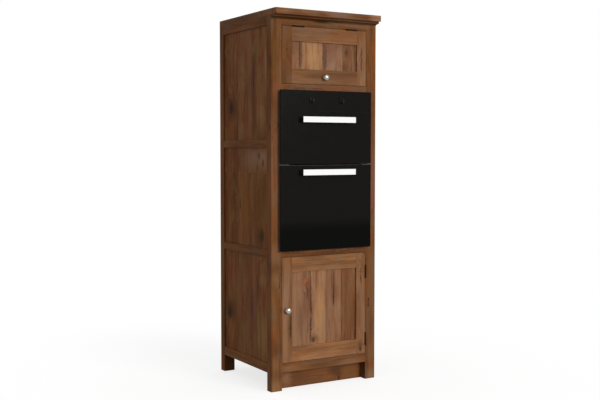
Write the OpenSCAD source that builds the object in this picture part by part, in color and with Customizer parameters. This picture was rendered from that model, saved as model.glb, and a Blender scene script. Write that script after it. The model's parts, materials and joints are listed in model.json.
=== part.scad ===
// Tall oven housing unit: a framed timber cabinet on four post feet. It has a lift-up
// locker flap at the top, a built-in double oven in the middle and a cupboard below.
// The origin is on the floor under the middle of the overall outline, +Z is up and the
// front faces -Y. Depths are given "behind the front face" of the timber carcass, so a
// negative depth stands in front of it.

/* [Openings] */
// Clear width between the front posts
open_w = 556; // [548:1:566]
// Clear height of the cupboard doorway
cupboard_open_h = 592; // [520:1:660]
// Clear height of the oven bay
bay_h = 872; // [868:1:880]
// Clear height of the locker doorway
flap_open_h = 317; // [290:1:360]

/* [Posts and rails] */
// Depth of the carcass, front face to back
cab_d = 636; // [616:2:680]
// Width of a corner post, seen from the front
post_w = 67; // [60:1:76]
// Depth of a corner post
post_d = 48; // [42:1:56]
// Radius on the outer front corner of a front post
post_r = 4; // [2:1:8]
// Height of the feet under the lowest rails
foot_h = 101; // [80:1:130]
// Thickness of the front rails
rail_t = 22; // [18:1:26]
// Height of the bottom rail
bottom_rail_h = 51; // [40:1:70]
// Height of the rail between the cupboard and the oven
oven_rail_h = 41; // [40:1:60]
// Height of the rail between the oven and the flap
flap_rail_h = 41; // [36:1:60]
// Height of the rail above the flap
top_rail_h = 53; // [45:1:70]
// Length of a stub tenon
tenon_l = 20; // [12:1:24]
// Thickness of a stub tenon
tenon_t = 8; // [6:1:10]

/* [Sides and back] */
// Thickness of the side and back rails
side_rail_t = 22; // [20:1:26]
// Height of the underside of the upper side rail above the floor
waist_rail_z = 1349; // [1200:1:1500]
// Height of the upper side rail
waist_rail_h = 42; // [36:1:60]
// How far a side panel lies below the face of its rails
side_recess = 8; // [4:0.5:9]
// Thickness of a side panel
side_panel_t = 9; // [6:0.5:9]
// Thickness of a back panel
back_panel_t = 6; // [4:0.5:9]
// Depth of the grooves that hold the panels
groove_d = 8; // [6:0.5:8]
// Room for a panel to swell at the bottom of its groove
groove_slack = 1; // [0.5:0.5:2]

/* [Boards] */
// Thickness of the floors and the shelf
board_t = 18; // [15:1:22]
// Width and height of a cleat under a floor
cleat = 20; // [16:1:24]
// Height of the cupboard shelf over the cupboard floor
shelf_rise = 296; // [150:1:400]
// Radius of a shelf pin
shelf_pin_r = 2.5; // [2:0.5:3]
// Length of a shelf pin
shelf_pin_l = 18; // [14:1:22]
// Spacing of the shelf pin holes
pin_pitch = 48; // [32:1:60]
// Number of pin holes in each post
pin_holes = 5; // [3:2:7]
// Distance from the front and back faces to the shelf pins
pin_inset = 38; // [32:1:44]
// Length of the vent cut-out in the oven deck
deck_vent_w = 400; // [200:10:460]
// Depth of the vent cut-out in the oven deck
deck_vent_d = 60; // [40:5:90]
// Thickness of the plinth board
plinth_t = 18; // [15:1:22]
// How far each end of the plinth board reaches behind its post
plinth_lap = 20; // [10:1:24]

/* [Top] */
// Thickness of the top board
top_t = 32; // [24:1:40]
// Overhang of the top board in front of the carcass
top_overhang = 54; // [40:1:70]
// Radius on the front corners of the top board
top_r = 6; // [3:1:12]
// Height of the cove moulding
mould_h = 19; // [14:1:26]
// Projection of the cove moulding
mould_out = 30; // [20:1:38]
// Height of the square fillet on the moulding
fillet_h = 11; // [6:1:13]

/* [Flap and cupboard door] */
// Thickness of the flap and the door
leaf_t = 22; // [20:1:24]
// Gap round the flap and the door
leaf_gap = 2; // [1.5:0.5:3]
// Width of a stile
stile_w = 62; // [50:1:75]
// Height of the cross rails of the flap
flap_cross_h = 81; // [60:1:95]
// Height of the cross rails of the door
door_cross_h = 85; // [60:1:110]
// Recess of the panel behind the frame
leaf_recess = 8; // [5:0.5:9]
// Thickness of the panel
leaf_panel_t = 8; // [6:0.5:9]

/* [Knobs, hinges and stay] */
// Radius of a knob
knob_r = 17; // [14:1:20]
// Projection of a knob
knob_out = 28; // [25:1:34]
// Length of a butt hinge
hinge_l = 76; // [60:1:90]
// Radius of the hinge knuckles
knuckle_r = 3.8; // [3.4:0.1:4]
// Radius of the hinge pins
hinge_pin_r = 2; // [1.5:0.1:2.2]
// Thickness of a hinge leaf
hinge_leaf_t = 1.5; // [1.2:0.1:1.8]
// Width of a hinge leaf behind the front face
hinge_leaf_w = 18; // [14:1:19]
// Distance from the lower door hinge to the bottom of the door
low_hinge_inset = 45; // [30:1:90]
// Distance from the upper door hinge to the top of the door
high_hinge_inset = 72; // [50:1:110]
// Distance from a flap hinge to the side of the flap
flap_hinge_inset = 63; // [50:1:90]
// Radius of the quadrant stay's centre line
stay_r = 120; // [112:1:122]
// Width of the quadrant stay
stay_w = 14; // [10:1:16]
// Thickness of the quadrant stay
stay_t = 3; // [2:0.5:4]
// Angle that the flap opens to
flap_travel = 90; // [80:1:92]

/* [Oven front] */
// Overlap of the oven front on the posts, each side
side_lap = 19.5; // [14:0.5:28]
// Overlap of the oven front on the rails, top and bottom
rail_lap = 8; // [5:0.5:9]
// Projection of the oven front from the carcass
oven_out = 22; // [21:0.5:26]
// Thickness of the black front glass
glass_t = 4; // [3:0.5:5]
// Height of the control panel
control_h = 113.5; // [105:0.5:120]
// Height of the upper oven door
top_door_h = 291.5; // [284:0.5:300]
// Gap between the two oven doors
vent_gap = 8; // [7:0.5:12]
// Gap between the control panel and the upper door, and under the main door
seam = 2; // [1:0.5:3]
// Length of a handle bar
handle_l = 344; // [300:1:440]
// Height of a handle bar
handle_h = 32; // [28:1:48]
// Thickness of a handle bar
handle_t = 8; // [6:1:12]
// Reach of a handle in front of the glass
handle_out = 34; // [28:1:34]
// Distance from the top of the upper door down to the middle of its handle
top_handle_drop = 45.5; // [34:0.5:50]
// Distance from the top of the main door down to the middle of its handle
main_handle_drop = 38; // [32:0.5:50]
// Height of a handle bracket, from the lower edge of the bar
bracket_h = 24; // [16:1:28]
// Width of a handle bracket
bracket_w = 10; // [8:1:14]
// Radius of a control knob
control_knob_r = 16; // [14:1:22]
// Depth of a control knob
control_knob_d = 18; // [16:1:28]
// Distance between the two control knobs
control_knob_gap = 197; // [120:1:260]
// Distance from the top of the oven down to the knobs
control_knob_drop = 55; // [45:1:66]

/* [Oven body] */
// Gap between the oven casing and the posts, each side
case_gap = 4; // [2:0.5:8]
// Gap above the oven casing
case_top_gap = 5; // [3:0.5:10]
// Depth of the oven casing
case_d = 540; // [530:1:560]
// Thickness of the oven's sheet metal
sheet_t = 1.5; // [1:0.5:2]
// Clear width of the cavities
cav_w = 450; // [430:1:452]
// Depth of the cavities
cav_d = 420; // [410:1:430]
// Clear height of the upper cavity
top_cav_h = 200; // [180:1:206]
// Clear height of the main cavity
main_cav_h = 360; // [330:1:375]
// Distance from the bottom of a door to the floor of its cavity
cav_rise = 50; // [46:1:56]
// Thickness of the insulation
wool_t = 20; // [12:1:22]

/* [Racks, fan and elements] */
// Radius of the guide wires
guide_r = 2.5; // [2:0.1:2.6]
// Radius of the rack's frame wires
rack_frame_r = 3; // [2.5:0.1:3.2]
// Radius of the rack's cross wires
rack_wire_r = 1.75; // [1.5:0.05:2]
// Number of cross wires
rack_wires = 15; // [9:1:19]
// Depth of the baking tray
tray_h = 30; // [18:1:40]
// Spacing of the main cavity's rack levels
main_level = 80; // [70:1:85]
// Spacing of the upper cavity's rack levels
top_level = 50; // [45:1:55]
// Radius of the fan
fan_r = 75; // [55:1:80]
// Radius of the fan shaft
fan_shaft_r = 4; // [3:0.5:5]
// Number of fan blades
fan_blades = 10; // [6:1:14]
// Radius of the heating tube
tube_r = 3.25; // [2.5:0.25:4]
// Radius of the ring element's centre line
ring_r = 92; // [88:1:98]

/* [Fits] */
// Radial clearance of a shaft or pin that turns
fit = 0.05; // [0.02:0.01:0.09]
// Clearance between pieces that slide past each other
run_gap = 0.3; // [0.2:0.05:0.5]
// Radial clearance of a fixed screw or pin in its hole
hole_gap = 0.1; // [0.05:0.05:0.2]

/* [Hidden] */
$fn = 48;

WOOD = "#7a5236";
DARK_WOOD = "#5f3f28";
BLACK = "#1e1e1c";
STEEL = "#b9bbbd";
BRIGHT = "#e4e6e8";
ENAMEL = "#33353a";
GREY = "#4a4a4a";
BRONZE = "#5a4632";

half_open = open_w / 2;
half_cab = half_open + post_w;

// Heights of the face frame, from the floor up
bottom_z = [foot_h, foot_h + bottom_rail_h];
oven_rail_z = [bottom_z[1] + cupboard_open_h, bottom_z[1] + cupboard_open_h + oven_rail_h];
flap_rail_z = [oven_rail_z[1] + bay_h, oven_rail_z[1] + bay_h + flap_rail_h];
top_rail_z = [flap_rail_z[1] + flap_open_h, flap_rail_z[1] + flap_open_h + top_rail_h];
post_h = top_rail_z[1];
waist_z = [waist_rail_z, waist_rail_z + waist_rail_h];
front_zs = [bottom_z, oven_rail_z, flap_rail_z, top_rail_z];
side_zs = [bottom_z, oven_rail_z, waist_z, top_rail_z];

// The origin lies under the middle of the outline, handles and top board included
front_reach = max(top_overhang, oven_out + handle_out, oven_out + control_knob_d, knob_out);
front = -(cab_d - front_reach) / 2;

tongue = groove_d - groove_slack;
shoulder = groove_d + 2;
panel_x = [half_cab - side_recess - side_panel_t, half_cab - side_recess];
side_x = [half_cab - side_rail_t, half_cab];
back_y = [cab_d - side_rail_t, cab_d];
back_panel_y = [cab_d - (side_rail_t + back_panel_t) / 2, cab_d - (side_rail_t - back_panel_t) / 2];
back_post_y = cab_d - post_d;

// Flap and cupboard door
leaf_x = [-half_open + leaf_gap, half_open - leaf_gap];
flap_z = [flap_rail_z[1] + leaf_gap, top_rail_z[0] - leaf_gap];
door_z = [bottom_z[1] + leaf_gap, oven_rail_z[0] - leaf_gap];
knuckle_y = -knuckle_r - 0.4;
flap_axis_z = flap_z[1] + leaf_gap / 2;
door_axis_x = leaf_x[1] + leaf_gap / 2;
flap_hinge_x = leaf_x[1] - flap_hinge_inset - hinge_l / 2;
door_hinge_zs = [door_z[0] + low_hinge_inset + hinge_l / 2, door_z[1] - high_hinge_inset - hinge_l / 2];
leaf_slit = 0.5;
stud_r = 2;
nut_r = 5;
nut_h = 2.5;
strike_t = 1.5;
catch_gap = 0.5;
catch_size = [30, 22, 12];
knob_rose = [11, 3];
knob_neck_r = 6;
knob_neck_l = 4;
knob_ball_r = (knob_out - knob_neck_l) / 2;
flap_knob_z = flap_z[0] + flap_cross_h / 2;
door_knob_x = leaf_x[0] + stile_w / 2;
door_knob_z = (door_z[0] + door_z[1]) / 2;

// Quadrant stay, drawn round the flap's hinge line
stay_inset = 10;
stay_x = [-half_open + stay_inset, -half_open + stay_inset + stay_t];
stay_foot_w = 30;
stay_foot_h = 24;
stay_foot_t = 2;
guide_gap = 6;
guide_d = 14;
guide_y = [leaf_t + guide_gap, leaf_t + guide_gap + guide_d];
guide_angle = asin(((guide_y[0] + guide_y[1]) / 2 - knuckle_y) / stay_r);
stay_start = asin((leaf_t + run_gap - knuckle_y) / (stay_r - stay_w / 2));
stay_spare = 5;
stay_end = guide_angle + flap_travel + stay_spare;
guide_wall = 4;
guide_h = stay_w + guide_d;

// Oven: outline, doors and pivots
front_x = half_open + side_lap;
oven_z = [oven_rail_z[1] - rail_lap, flap_rail_z[0] + rail_lap];
control_z = [oven_z[1] - control_h, oven_z[1]];
top_door_z = [control_z[0] - seam - top_door_h, control_z[0] - seam];
main_door_z = [oven_z[0] + seam / 2, top_door_z[0] - vent_gap];
door_zs = [top_door_z, main_door_z];
glass_y = [-oven_out, -oven_out + glass_t];
mask_y = [-sheet_t, 0];
pivot_rise = 8;
pivot_y = -oven_out + 8;
seal_t = 3;
frame_y = [glass_y[1], mask_y[0] - seal_t];
frame_inset = 7.5;
frame_x = front_x - frame_inset;
frame_top = 4;
window_x = 200;
window_low = 37;
window_high = 62;
rebate = 12;
inner_glass_t = 4;

// Grey end caps on the main door fill the gap between the doors, clear of the upper
// door's lower edge as it swings
cap_l = 62;
cap_inset = 1.5;
cap_d = 10;
cap_z = [main_door_z[1] - frame_top,
    top_door_z[0] + pivot_rise - norm([pivot_y - glass_y[0], pivot_rise]) - 1];

// Oven hinges
arm_inset = 30;
arm_t = 5;
arm_x = [front_x - arm_inset - arm_t, front_x - arm_inset];
arm_gap = 0.6;
arm_rise = [2, 7];
oven_pin_r = 2.5;
boss_r = 3.5;
lug_w = 8;
lug_drop = 6;
lug_d = 12;
hinge_box_h = 26;
hinge_box_y = [6, 70];

// Oven body
mask_lap = 9;
mask_x = half_open + mask_lap;
mask_edge = 1;
case_x = half_open - case_gap;
case_z = [oven_rail_z[1], flap_rail_z[0] - case_top_gap];
cav_x = cav_w / 2;
top_cav_z = [top_door_z[0] + cav_rise, top_door_z[0] + cav_rise + top_cav_h];
main_cav_lift = 7;
main_cav_z = [main_door_z[0] + cav_rise + main_cav_lift,
    main_door_z[0] + cav_rise + main_cav_lift + main_cav_h];
cav_zs = [top_cav_z, main_cav_z];
wool_front = hinge_box_y[1] + 10;
control_knob_x = control_knob_gap / 2;
control_knob_z = oven_z[1] - control_knob_drop;
screw_x = half_open + mask_lap / 2;
screw_r = 2;
screw_head_r = 4;
screw_l = 30;
main_screw_inset = 60;
top_screw_inset = 20;
screw_zs = [main_cav_z[0] + main_screw_inset, main_cav_z[1] - main_screw_inset,
    top_cav_z[0] + top_screw_inset, top_cav_z[1] - top_screw_inset];
seal_inner = 4;
seal_outer = 16;
slot_l = 60;
slot_pitch = 70;
slot_h = 8;
slot_drop = 52;

// Control panel
housing_back = mask_y[0] - 3;
housing_inset = 2;
housing_wall = 6;
shaft_r = 3;
shaft_gap = 2;
knob_skirt_t = 5;
knob_step = 5;
knob_grip_w = 8;
switch_half = 15;
switch_d = 10;

// Lamp lenses, terminal box and fan motor
lamp_r = [15, 11];
lamp_t = [3, 9];
lamp_inset = 20;
lamp_drop = 60;
terminal_w = 90;
terminal_h = 70;
terminal_d = 30;
terminal_inset = 60;
cable_r = 10;
cable_l = 20;
motor_r = 38;
motor_can_r = 30;
motor_flange_t = 6;
motor_l = 50;
motor_gap = 4;

// Fan, guides and racks
fan_z = (main_cav_z[0] + main_cav_z[1]) / 2;
cover_gap = 48;
cover_y = cav_d - cover_gap;
cover_margin = [40, 20];
cover_hole_r = 3.5;
cover_rings = [18, 32, 46];
cover_slot_w = 8;
cover_slot_pitch = 40;
cover_slot_half = 13;
standoff_r = 4;
fan_gap = 12;
fan_y = cav_d - fan_gap;
fan_depth = 18;
fan_plate_t = 2;
fan_hub_r = 14;
fan_hole_r = 8;
fan_hole_ring = 40;
blade_w = 22;
shaft_reach = 36;
guide_inset = 7;
guide_x = cav_x - guide_inset;
guide_post_x = cav_x - guide_r - 0.2;
guide_end = 4;
guide_post_inset = 30;
guide_post_drop = 12;
guide_foot_drop = 20;
rack_inset = 3.5;
rack_front = 20;
rack_back_gap = 12;
rack_y = [rack_front, cover_y - rack_back_gap];
rack_x = guide_x - rack_inset;
rack_lift = sqrt(pow(guide_r + rack_frame_r + run_gap, 2) - pow(guide_x - rack_x, 2));
first_main_level = 55;
first_top_level = 45;
main_levels = [for (i = [0:3]) main_cav_z[0] + first_main_level + i * main_level];
top_levels = [for (i = [0:2]) top_cav_z[0] + first_top_level + i * top_level];
top_rack_z = top_levels[1] + rack_lift;
main_rack_z = main_levels[2] + rack_lift;
tray_rim_z = main_levels[0] + guide_r + run_gap;
tray_inset = 6;
tray_wall = 1.5;
tray_rim = 12;
grill_drop = 22;
grill_z = top_cav_z[1] - grill_drop;
grill_pitch = 60;
grill_near = 70;
grill_far = 60;
ring_gap = 24;
braze = 0.75;

// ---------------------------------------------------------------- helpers

// A box from three [low, high] pairs, with y measured behind the front face
module block(x, y, z)
    translate([x[0], front + y[0], z[0]]) cube([x[1] - x[0], y[1] - y[0], z[1] - z[0]]);

// Round bars along one axis
module rod_x(r, x, y, z)
    translate([x[0], front + y, z]) rotate([0, 90, 0]) cylinder(r = r, h = x[1] - x[0]);
module rod_y(r, x, y, z)
    translate([x, front + y[0], z]) rotate([-90, 0, 0]) cylinder(r = r, h = y[1] - y[0]);
module rod_z(r, x, y, z)
    translate([x, front + y, z[0]]) cylinder(r = r, h = z[1] - z[0]);

module both_sides() {
    children();
    mirror([1, 0, 0]) children();
}

// A rail across the opening, with a stub tenon at each end
module cross_rail(half_w, y, z, edge = shoulder) {
    mid = (y[0] + y[1]) / 2;
    block([-half_w, half_w], y, z);
    block([-half_w - tenon_l, half_w + tenon_l], [mid - tenon_t / 2, mid + tenon_t / 2],
        [z[0] + edge, z[1] - edge]);
}

// A rail along the right-hand side, with a stub tenon at each end
module side_rail(z) {
    mid = (side_x[0] + side_x[1]) / 2;
    block(side_x, [post_d, back_post_y], z);
    block([mid - tenon_t / 2, mid + tenon_t / 2], [post_d - tenon_l, back_post_y + tenon_l],
        [z[0] + shoulder, z[1] - shoulder]);
}

// Right-hand side panel between two rails; grow widens it for the grooves
module side_panel(low, high, grow = 0)
    block(panel_x, [post_d - tongue - grow, back_post_y + tongue + grow],
        [low[1] - tongue - grow, high[0] + tongue + grow]);

module side_panel_set(grow = 0)
    for (i = [0:len(side_zs) - 2]) side_panel(side_zs[i], side_zs[i + 1], grow);

module back_panel_set(grow = 0)
    for (pair = [[bottom_z, oven_rail_z], [flap_rail_z, top_rail_z]])
        block([-half_open - tongue - grow, half_open + tongue + grow], back_panel_y,
            [pair[0][1] - tongue - grow, pair[1][0] + tongue + grow]);

// ---------------------------------------------------------------- butt hinges

// A hinge about local Z, with its leaves in the plane x = 0 and running back along +y.
// The fixed leaf carries the pin and the three odd knuckles, the moving leaf the other two.
module knuckles(which) {
    pitch = hinge_l / 5;
    for (i = which)
        translate([0, 0, -hinge_l / 2 + i * pitch + run_gap / 2])
            cylinder(r = knuckle_r, h = pitch - run_gap);
}

module leaf_tabs(which, x) {
    pitch = hinge_l / 5;
    for (i = which)
        translate([x, 0, -hinge_l / 2 + i * pitch + run_gap / 2])
            cube([hinge_leaf_t, -knuckle_y, pitch - run_gap]);
}

module leaf_plate(x)
    translate([x, -knuckle_y, -hinge_l / 2]) cube([hinge_leaf_t, hinge_leaf_w, hinge_l]);

module fixed_leaf() {
    knuckles([0, 2, 4]);
    leaf_tabs([0, 2, 4], leaf_slit);
    leaf_plate(leaf_slit);
    translate([0, 0, -hinge_l / 2 - 1]) cylinder(r = hinge_pin_r, h = hinge_l + 2);
}

module moving_leaf() {
    difference() {
        union() {
            knuckles([1, 3]);
            leaf_tabs([1, 3], -leaf_slit - hinge_leaf_t);
            leaf_plate(-leaf_slit - hinge_leaf_t);
        }
        translate([0, 0, -hinge_l / 2]) cylinder(r = hinge_pin_r + fit, h = hinge_l);
    }
}

module at_door_hinges()
    for (z = door_hinge_zs) translate([door_axis_x, front + knuckle_y, z]) children();

module at_flap_hinges()
    for (x = [-flap_hinge_x, flap_hinge_x])
        translate([x, front + knuckle_y, flap_axis_z]) rotate([0, -90, 0]) children();

// ---------------------------------------------------------------- carcass

module front_post_outline()
    translate([half_open, front]) {
        square([post_w - post_r, post_d]);
        translate([0, post_r]) square([post_w, post_d - post_r]);
        translate([post_w - post_r, post_r]) circle(post_r);
    }

// Holes for the shelf pins, in the inner face of a right-hand post
module pin_row(y)
    for (i = [0:pin_holes - 1])
        rod_x(shelf_pin_r + hole_gap, [half_open - 1, half_open + shelf_pin_l / 2], y,
            shelf_pin_z + (i - (pin_holes - 1) / 2) * pin_pitch);

module screw_holes()
    for (z = screw_zs) rod_y(screw_r + hole_gap, screw_x, [mask_y[0] - 1, screw_l + 1], z);

module front_post()
    difference() {
        linear_extrude(post_h) front_post_outline();
        for (z = front_zs) cross_rail(half_open, [0, rail_t], z);
        for (z = side_zs) side_rail(z);
        side_panel_set(groove_slack);
        pin_row(pin_inset);
        screw_holes();
    }

module front_post_left() color(WOOD) mirror([1, 0, 0]) front_post();

module front_post_right()
    color(WOOD) difference() {
        front_post();
        at_door_hinges() leaf_plate(leaf_slit);
    }

module back_posts()
    color(WOOD) both_sides() difference() {
        block([half_open, half_cab], [back_post_y, cab_d], [0, post_h]);
        for (z = front_zs) cross_rail(half_open, back_y, z);
        for (z = side_zs) side_rail(z);
        side_panel_set(groove_slack);
        back_panel_set(groove_slack);
        pin_row(cab_d - pin_inset);
    }

module front_rails()
    color(WOOD) difference() {
        for (z = front_zs) cross_rail(half_open, [0, rail_t], z);
        at_flap_hinges() leaf_plate(leaf_slit);
    }

module carcass_rails()
    color(WOOD) {
        both_sides() difference() {
            for (z = side_zs) side_rail(z);
            side_panel_set(groove_slack);
        }
        difference() {
            for (z = front_zs) cross_rail(half_open, back_y, z);
            back_panel_set(groove_slack);
        }
    }

module side_panels() color(DARK_WOOD) both_sides() side_panel_set();

module back_panels() color(DARK_WOOD) back_panel_set();

module top_board()
    color(WOOD) translate([0, front, post_h]) linear_extrude(top_t) {
        translate([-half_cab, top_r - top_overhang]) square([2 * half_cab, cab_d + top_overhang - top_r]);
        translate([top_r - half_cab, -top_overhang]) square([2 * (half_cab - top_r), top_r]);
        for (side = [-1, 1]) translate([side * (half_cab - top_r), top_r - top_overhang]) circle(top_r);
    }

// Square fillet over a hollow curve that runs down to the face of the carcass
module cove_moulding() {
    steps = 8;
    cove_h = mould_h - fillet_h;
    cove_out = mould_out - 4;
    cove = [for (i = [0:steps]) let (a = 90 * i / steps)
        [1 + cove_out * (1 - sin(a)), -fillet_h - cove_h * (1 - cos(a))]];
    color(WOOD) translate([half_cab, front, post_h]) rotate([90, 0, -90]) linear_extrude(2 * half_cab)
        polygon(concat(cove, [[0, -mould_h], [0, 0], [mould_out, 0], [mould_out, -fillet_h]]));
}

module plinth_board()
    color(WOOD) block([-half_open - plinth_lap, half_open + plinth_lap], [post_d, post_d + plinth_t],
        [0, bottom_z[1] - board_t]);

// A floor between the rails, notched round the four posts
module floor_board(top)
    difference() {
        block([-side_x[0], side_x[0]], [rail_t, back_y[0]], [top - board_t, top]);
        both_sides() for (y = [[0, post_d], [back_post_y, cab_d]])
            block([half_open, half_cab], y, [top - board_t - 1, top + 1]);
    }

module locker_floor() color(DARK_WOOD) floor_board(flap_rail_z[1]);

module oven_deck()
    color(DARK_WOOD) difference() {
        floor_board(oven_rail_z[1]);
        block([-deck_vent_w / 2, deck_vent_w / 2], [back_post_y - deck_vent_d, back_post_y],
            [oven_rail_z[0], oven_rail_z[1] + 1]);
    }

module cupboard_floor() color(DARK_WOOD) floor_board(bottom_z[1]);

module floor_cleats()
    color(DARK_WOOD) both_sides() for (z = [bottom_z[1], oven_rail_z[1], flap_rail_z[1]])
        block([side_x[0] - cleat, side_x[0]], [post_d, back_post_y],
            [z - board_t - cleat, z - board_t]);

shelf_z = [bottom_z[1] + shelf_rise, bottom_z[1] + shelf_rise + board_t];
shelf_pin_z = shelf_z[0] - shelf_pin_r - hole_gap;
shelf_end_gap = 1;
shelf_lap = 8;

module cupboard_shelf()
    color(DARK_WOOD) block([shelf_end_gap - half_open, half_open - shelf_end_gap],
        [pin_inset - shelf_lap, cab_d - pin_inset + shelf_lap], shelf_z);

module shelf_pins()
    color(STEEL) both_sides() for (y = [pin_inset, cab_d - pin_inset])
        rod_x(shelf_pin_r, [half_open - shelf_pin_l / 2, half_open + shelf_pin_l / 2 - hole_gap],
            y, shelf_pin_z);

module frame_hinge_leaves()
    color(BRONZE) {
        at_door_hinges() fixed_leaf();
        at_flap_hinges() fixed_leaf();
    }

// Magnet catches for the door and the flap, and the clamp that the quadrant stay slides in
door_catch_z = door_z[1] - door_cross_h / 2;
module catches_and_guide() {
    catch_y = leaf_t + strike_t + catch_gap;
    guide_z = flap_axis_z - stay_r * cos(guide_angle);
    color(STEEL) {
        block([-half_open, -half_open + catch_size[2]], [catch_y, catch_y + catch_size[1]],
            [door_catch_z - catch_size[0] / 2, door_catch_z + catch_size[0] / 2]);
        block([-catch_size[0] / 2, catch_size[0] / 2], [catch_y, catch_y + catch_size[1]],
            [flap_rail_z[1], flap_rail_z[1] + catch_size[2]]);
        difference() {
            block([-half_open, stay_x[1] + guide_wall], guide_y,
                [guide_z - guide_h / 2, guide_z + guide_h / 2]);
            stay_arc(run_gap);
        }
    }
}

// ---------------------------------------------------------------- flap and door

// The frame of a leaf is two upright stiles with tenoned cross rails and a grooved panel
module leaf_cross_rail(z, edge = shoulder)
    cross_rail(leaf_x[1] - stile_w, [0, leaf_t], z, edge);

module panel_between(z, cross_h, grow = 0)
    block([-leaf_x[1] + stile_w - tongue - grow, leaf_x[1] - stile_w + tongue + grow],
        [leaf_recess, leaf_recess + leaf_panel_t],
        [z[0] + cross_h - tongue - grow, z[1] - cross_h + tongue + grow]);

function low_cross(z, cross_h) = [z[0], z[0] + cross_h];
function high_cross(z, cross_h) = [z[1] - cross_h, z[1]];

module leaf_stiles(z, cross_h)
    difference() {
        both_sides() block([leaf_x[1] - stile_w, leaf_x[1]], [0, leaf_t], z);
        leaf_cross_rail(low_cross(z, cross_h));
        leaf_cross_rail(high_cross(z, cross_h));
        panel_between(z, cross_h, groove_slack);
    }

module leaf_cross_rails(z, cross_h)
    difference() {
        union() {
            leaf_cross_rail(low_cross(z, cross_h));
            leaf_cross_rail(high_cross(z, cross_h));
        }
        panel_between(z, cross_h, groove_slack);
    }

// A turned knob on a rose, with its stud and nut through the frame
module knob(x, z)
    translate([x, front, z]) rotate([90, 0, 0]) {
        rotate_extrude() intersection() {
            union() {
                square(knob_rose);
                square([knob_neck_r, knob_out - knob_neck_l]);
                translate([0, knob_neck_l]) square([knob_r - knob_ball_r, 2 * knob_ball_r]);
                translate([knob_r - knob_ball_r, knob_neck_l + knob_ball_r]) circle(knob_ball_r);
            }
            square([knob_r, knob_out]);
        }
        translate([0, 0, -leaf_t - 1]) cylinder(r = stud_r, h = leaf_t + 2);
        translate([0, 0, -leaf_t - nut_h]) cylinder(r = nut_r, h = nut_h);
    }

module flap_stiles()
    color(WOOD) difference() {
        leaf_stiles(flap_z, flap_cross_h);
        at_flap_hinges() leaf_plate(-leaf_slit - hinge_leaf_t);
    }

module flap_rails()
    color(WOOD) difference() {
        leaf_cross_rails(flap_z, flap_cross_h);
        at_flap_hinges() leaf_plate(-leaf_slit - hinge_leaf_t);
        rod_y(stud_r + hole_gap, 0, [-1, leaf_t + 1], flap_knob_z);
    }

module flap_panel() color(WOOD) panel_between(flap_z, flap_cross_h);

module flap_knob() color(BRIGHT) knob(0, flap_knob_z);

// Moving hinge leaves and the striking plate of the magnet catch
module flap_fittings()
    color(BRONZE) {
        at_flap_hinges() moving_leaf();
        block([-catch_size[0] / 2, catch_size[0] / 2], [leaf_t, leaf_t + strike_t],
            [flap_z[0] + 1, flap_rail_z[1] + catch_size[2]]);
    }

// Ring sector about the flap's hinge line; grow widens it for the slot in the guide
module stay_arc(grow = 0)
    translate([stay_x[0] - grow, front + knuckle_y, flap_axis_z]) rotate([90, 0, 90])
        rotate([0, 0, stay_start - 90]) rotate_extrude(angle = stay_end - stay_start)
            translate([stay_r - stay_w / 2 - grow, 0]) square([stay_w + 2 * grow, stay_t + 2 * grow]);

module quadrant_stay() {
    foot_z = flap_axis_z - stay_r * cos(stay_start);
    color(BRONZE) {
        stay_arc();
        block([stay_x[0], stay_x[0] + stay_foot_w], [leaf_t, leaf_t + stay_foot_t],
            [foot_z - stay_foot_h / 2, foot_z + stay_foot_h / 2]);
    }
}

module door_stiles()
    color(WOOD) difference() {
        leaf_stiles(door_z, door_cross_h);
        at_door_hinges() leaf_plate(-leaf_slit - hinge_leaf_t);
        rod_y(stud_r + hole_gap, door_knob_x, [-1, leaf_t + 1], door_knob_z);
    }

module door_rails() color(WOOD) leaf_cross_rails(door_z, door_cross_h);

module door_panel() color(WOOD) panel_between(door_z, door_cross_h);

module door_knob() color(BRIGHT) knob(door_knob_x, door_knob_z);

module door_fittings()
    color(BRONZE) {
        at_door_hinges() moving_leaf();
        block([leaf_x[0] + 1, -half_open + catch_size[2]], [leaf_t, leaf_t + strike_t],
            [door_catch_z - catch_size[0] / 2, door_catch_z + catch_size[0] / 2]);
    }

// ---------------------------------------------------------------- oven body

module oven_casing() {
    slot_z = case_z[1] - slot_drop;
    color(STEEL) difference() {
        block([-case_x, case_x], [0, case_d], case_z);
        block([sheet_t - case_x, case_x - sheet_t], [-1, case_d - sheet_t],
            [case_z[0] + sheet_t, case_z[1] - sheet_t]);
        for (i = [-3:3])
            block([i * slot_pitch - slot_l / 2, i * slot_pitch + slot_l / 2],
                [case_d - sheet_t - 1, case_d + 1], [slot_z - slot_h, slot_z]);
    }
}

// Front frame of the oven: it laps the posts and shows between the two doors
module oven_front_mask() {
    vent_half = front_x - cap_l;
    color(GREY) difference() {
        block([-mask_x, mask_x], mask_y, [oven_z[0] + mask_edge, oven_z[1] - mask_edge]);
        for (z = cav_zs) block([-cav_x, cav_x], [mask_y[0] - 1, 1], z);
        block([-vent_half, vent_half], [mask_y[0] - 1, 1],
            [main_door_z[1] + mask_edge, top_door_z[0] - mask_edge]);
        both_sides() for (z = door_zs)
            block([arm_x[0] - 1, arm_x[1] + 1], [mask_y[0] - 1, 1],
                [z[0] + pivot_rise + arm_rise[0] - 1, z[0] + pivot_rise + arm_rise[1] + 1]);
        both_sides() screw_holes();
    }
}

module cavity(z)
    difference() {
        block([-cav_x - sheet_t, cav_x + sheet_t], [0, cav_d + sheet_t], [z[0] - sheet_t, z[1] + sheet_t]);
        block([-cav_x, cav_x], [-1, cav_d], z);
    }

module top_cavity() color(ENAMEL) cavity(top_cav_z);

module main_cavity()
    color(ENAMEL) difference() {
        cavity(main_cav_z);
        rod_y(fan_shaft_r + 3, 0, [cav_d - 1, cav_d + sheet_t + 1], fan_z);
    }

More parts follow.
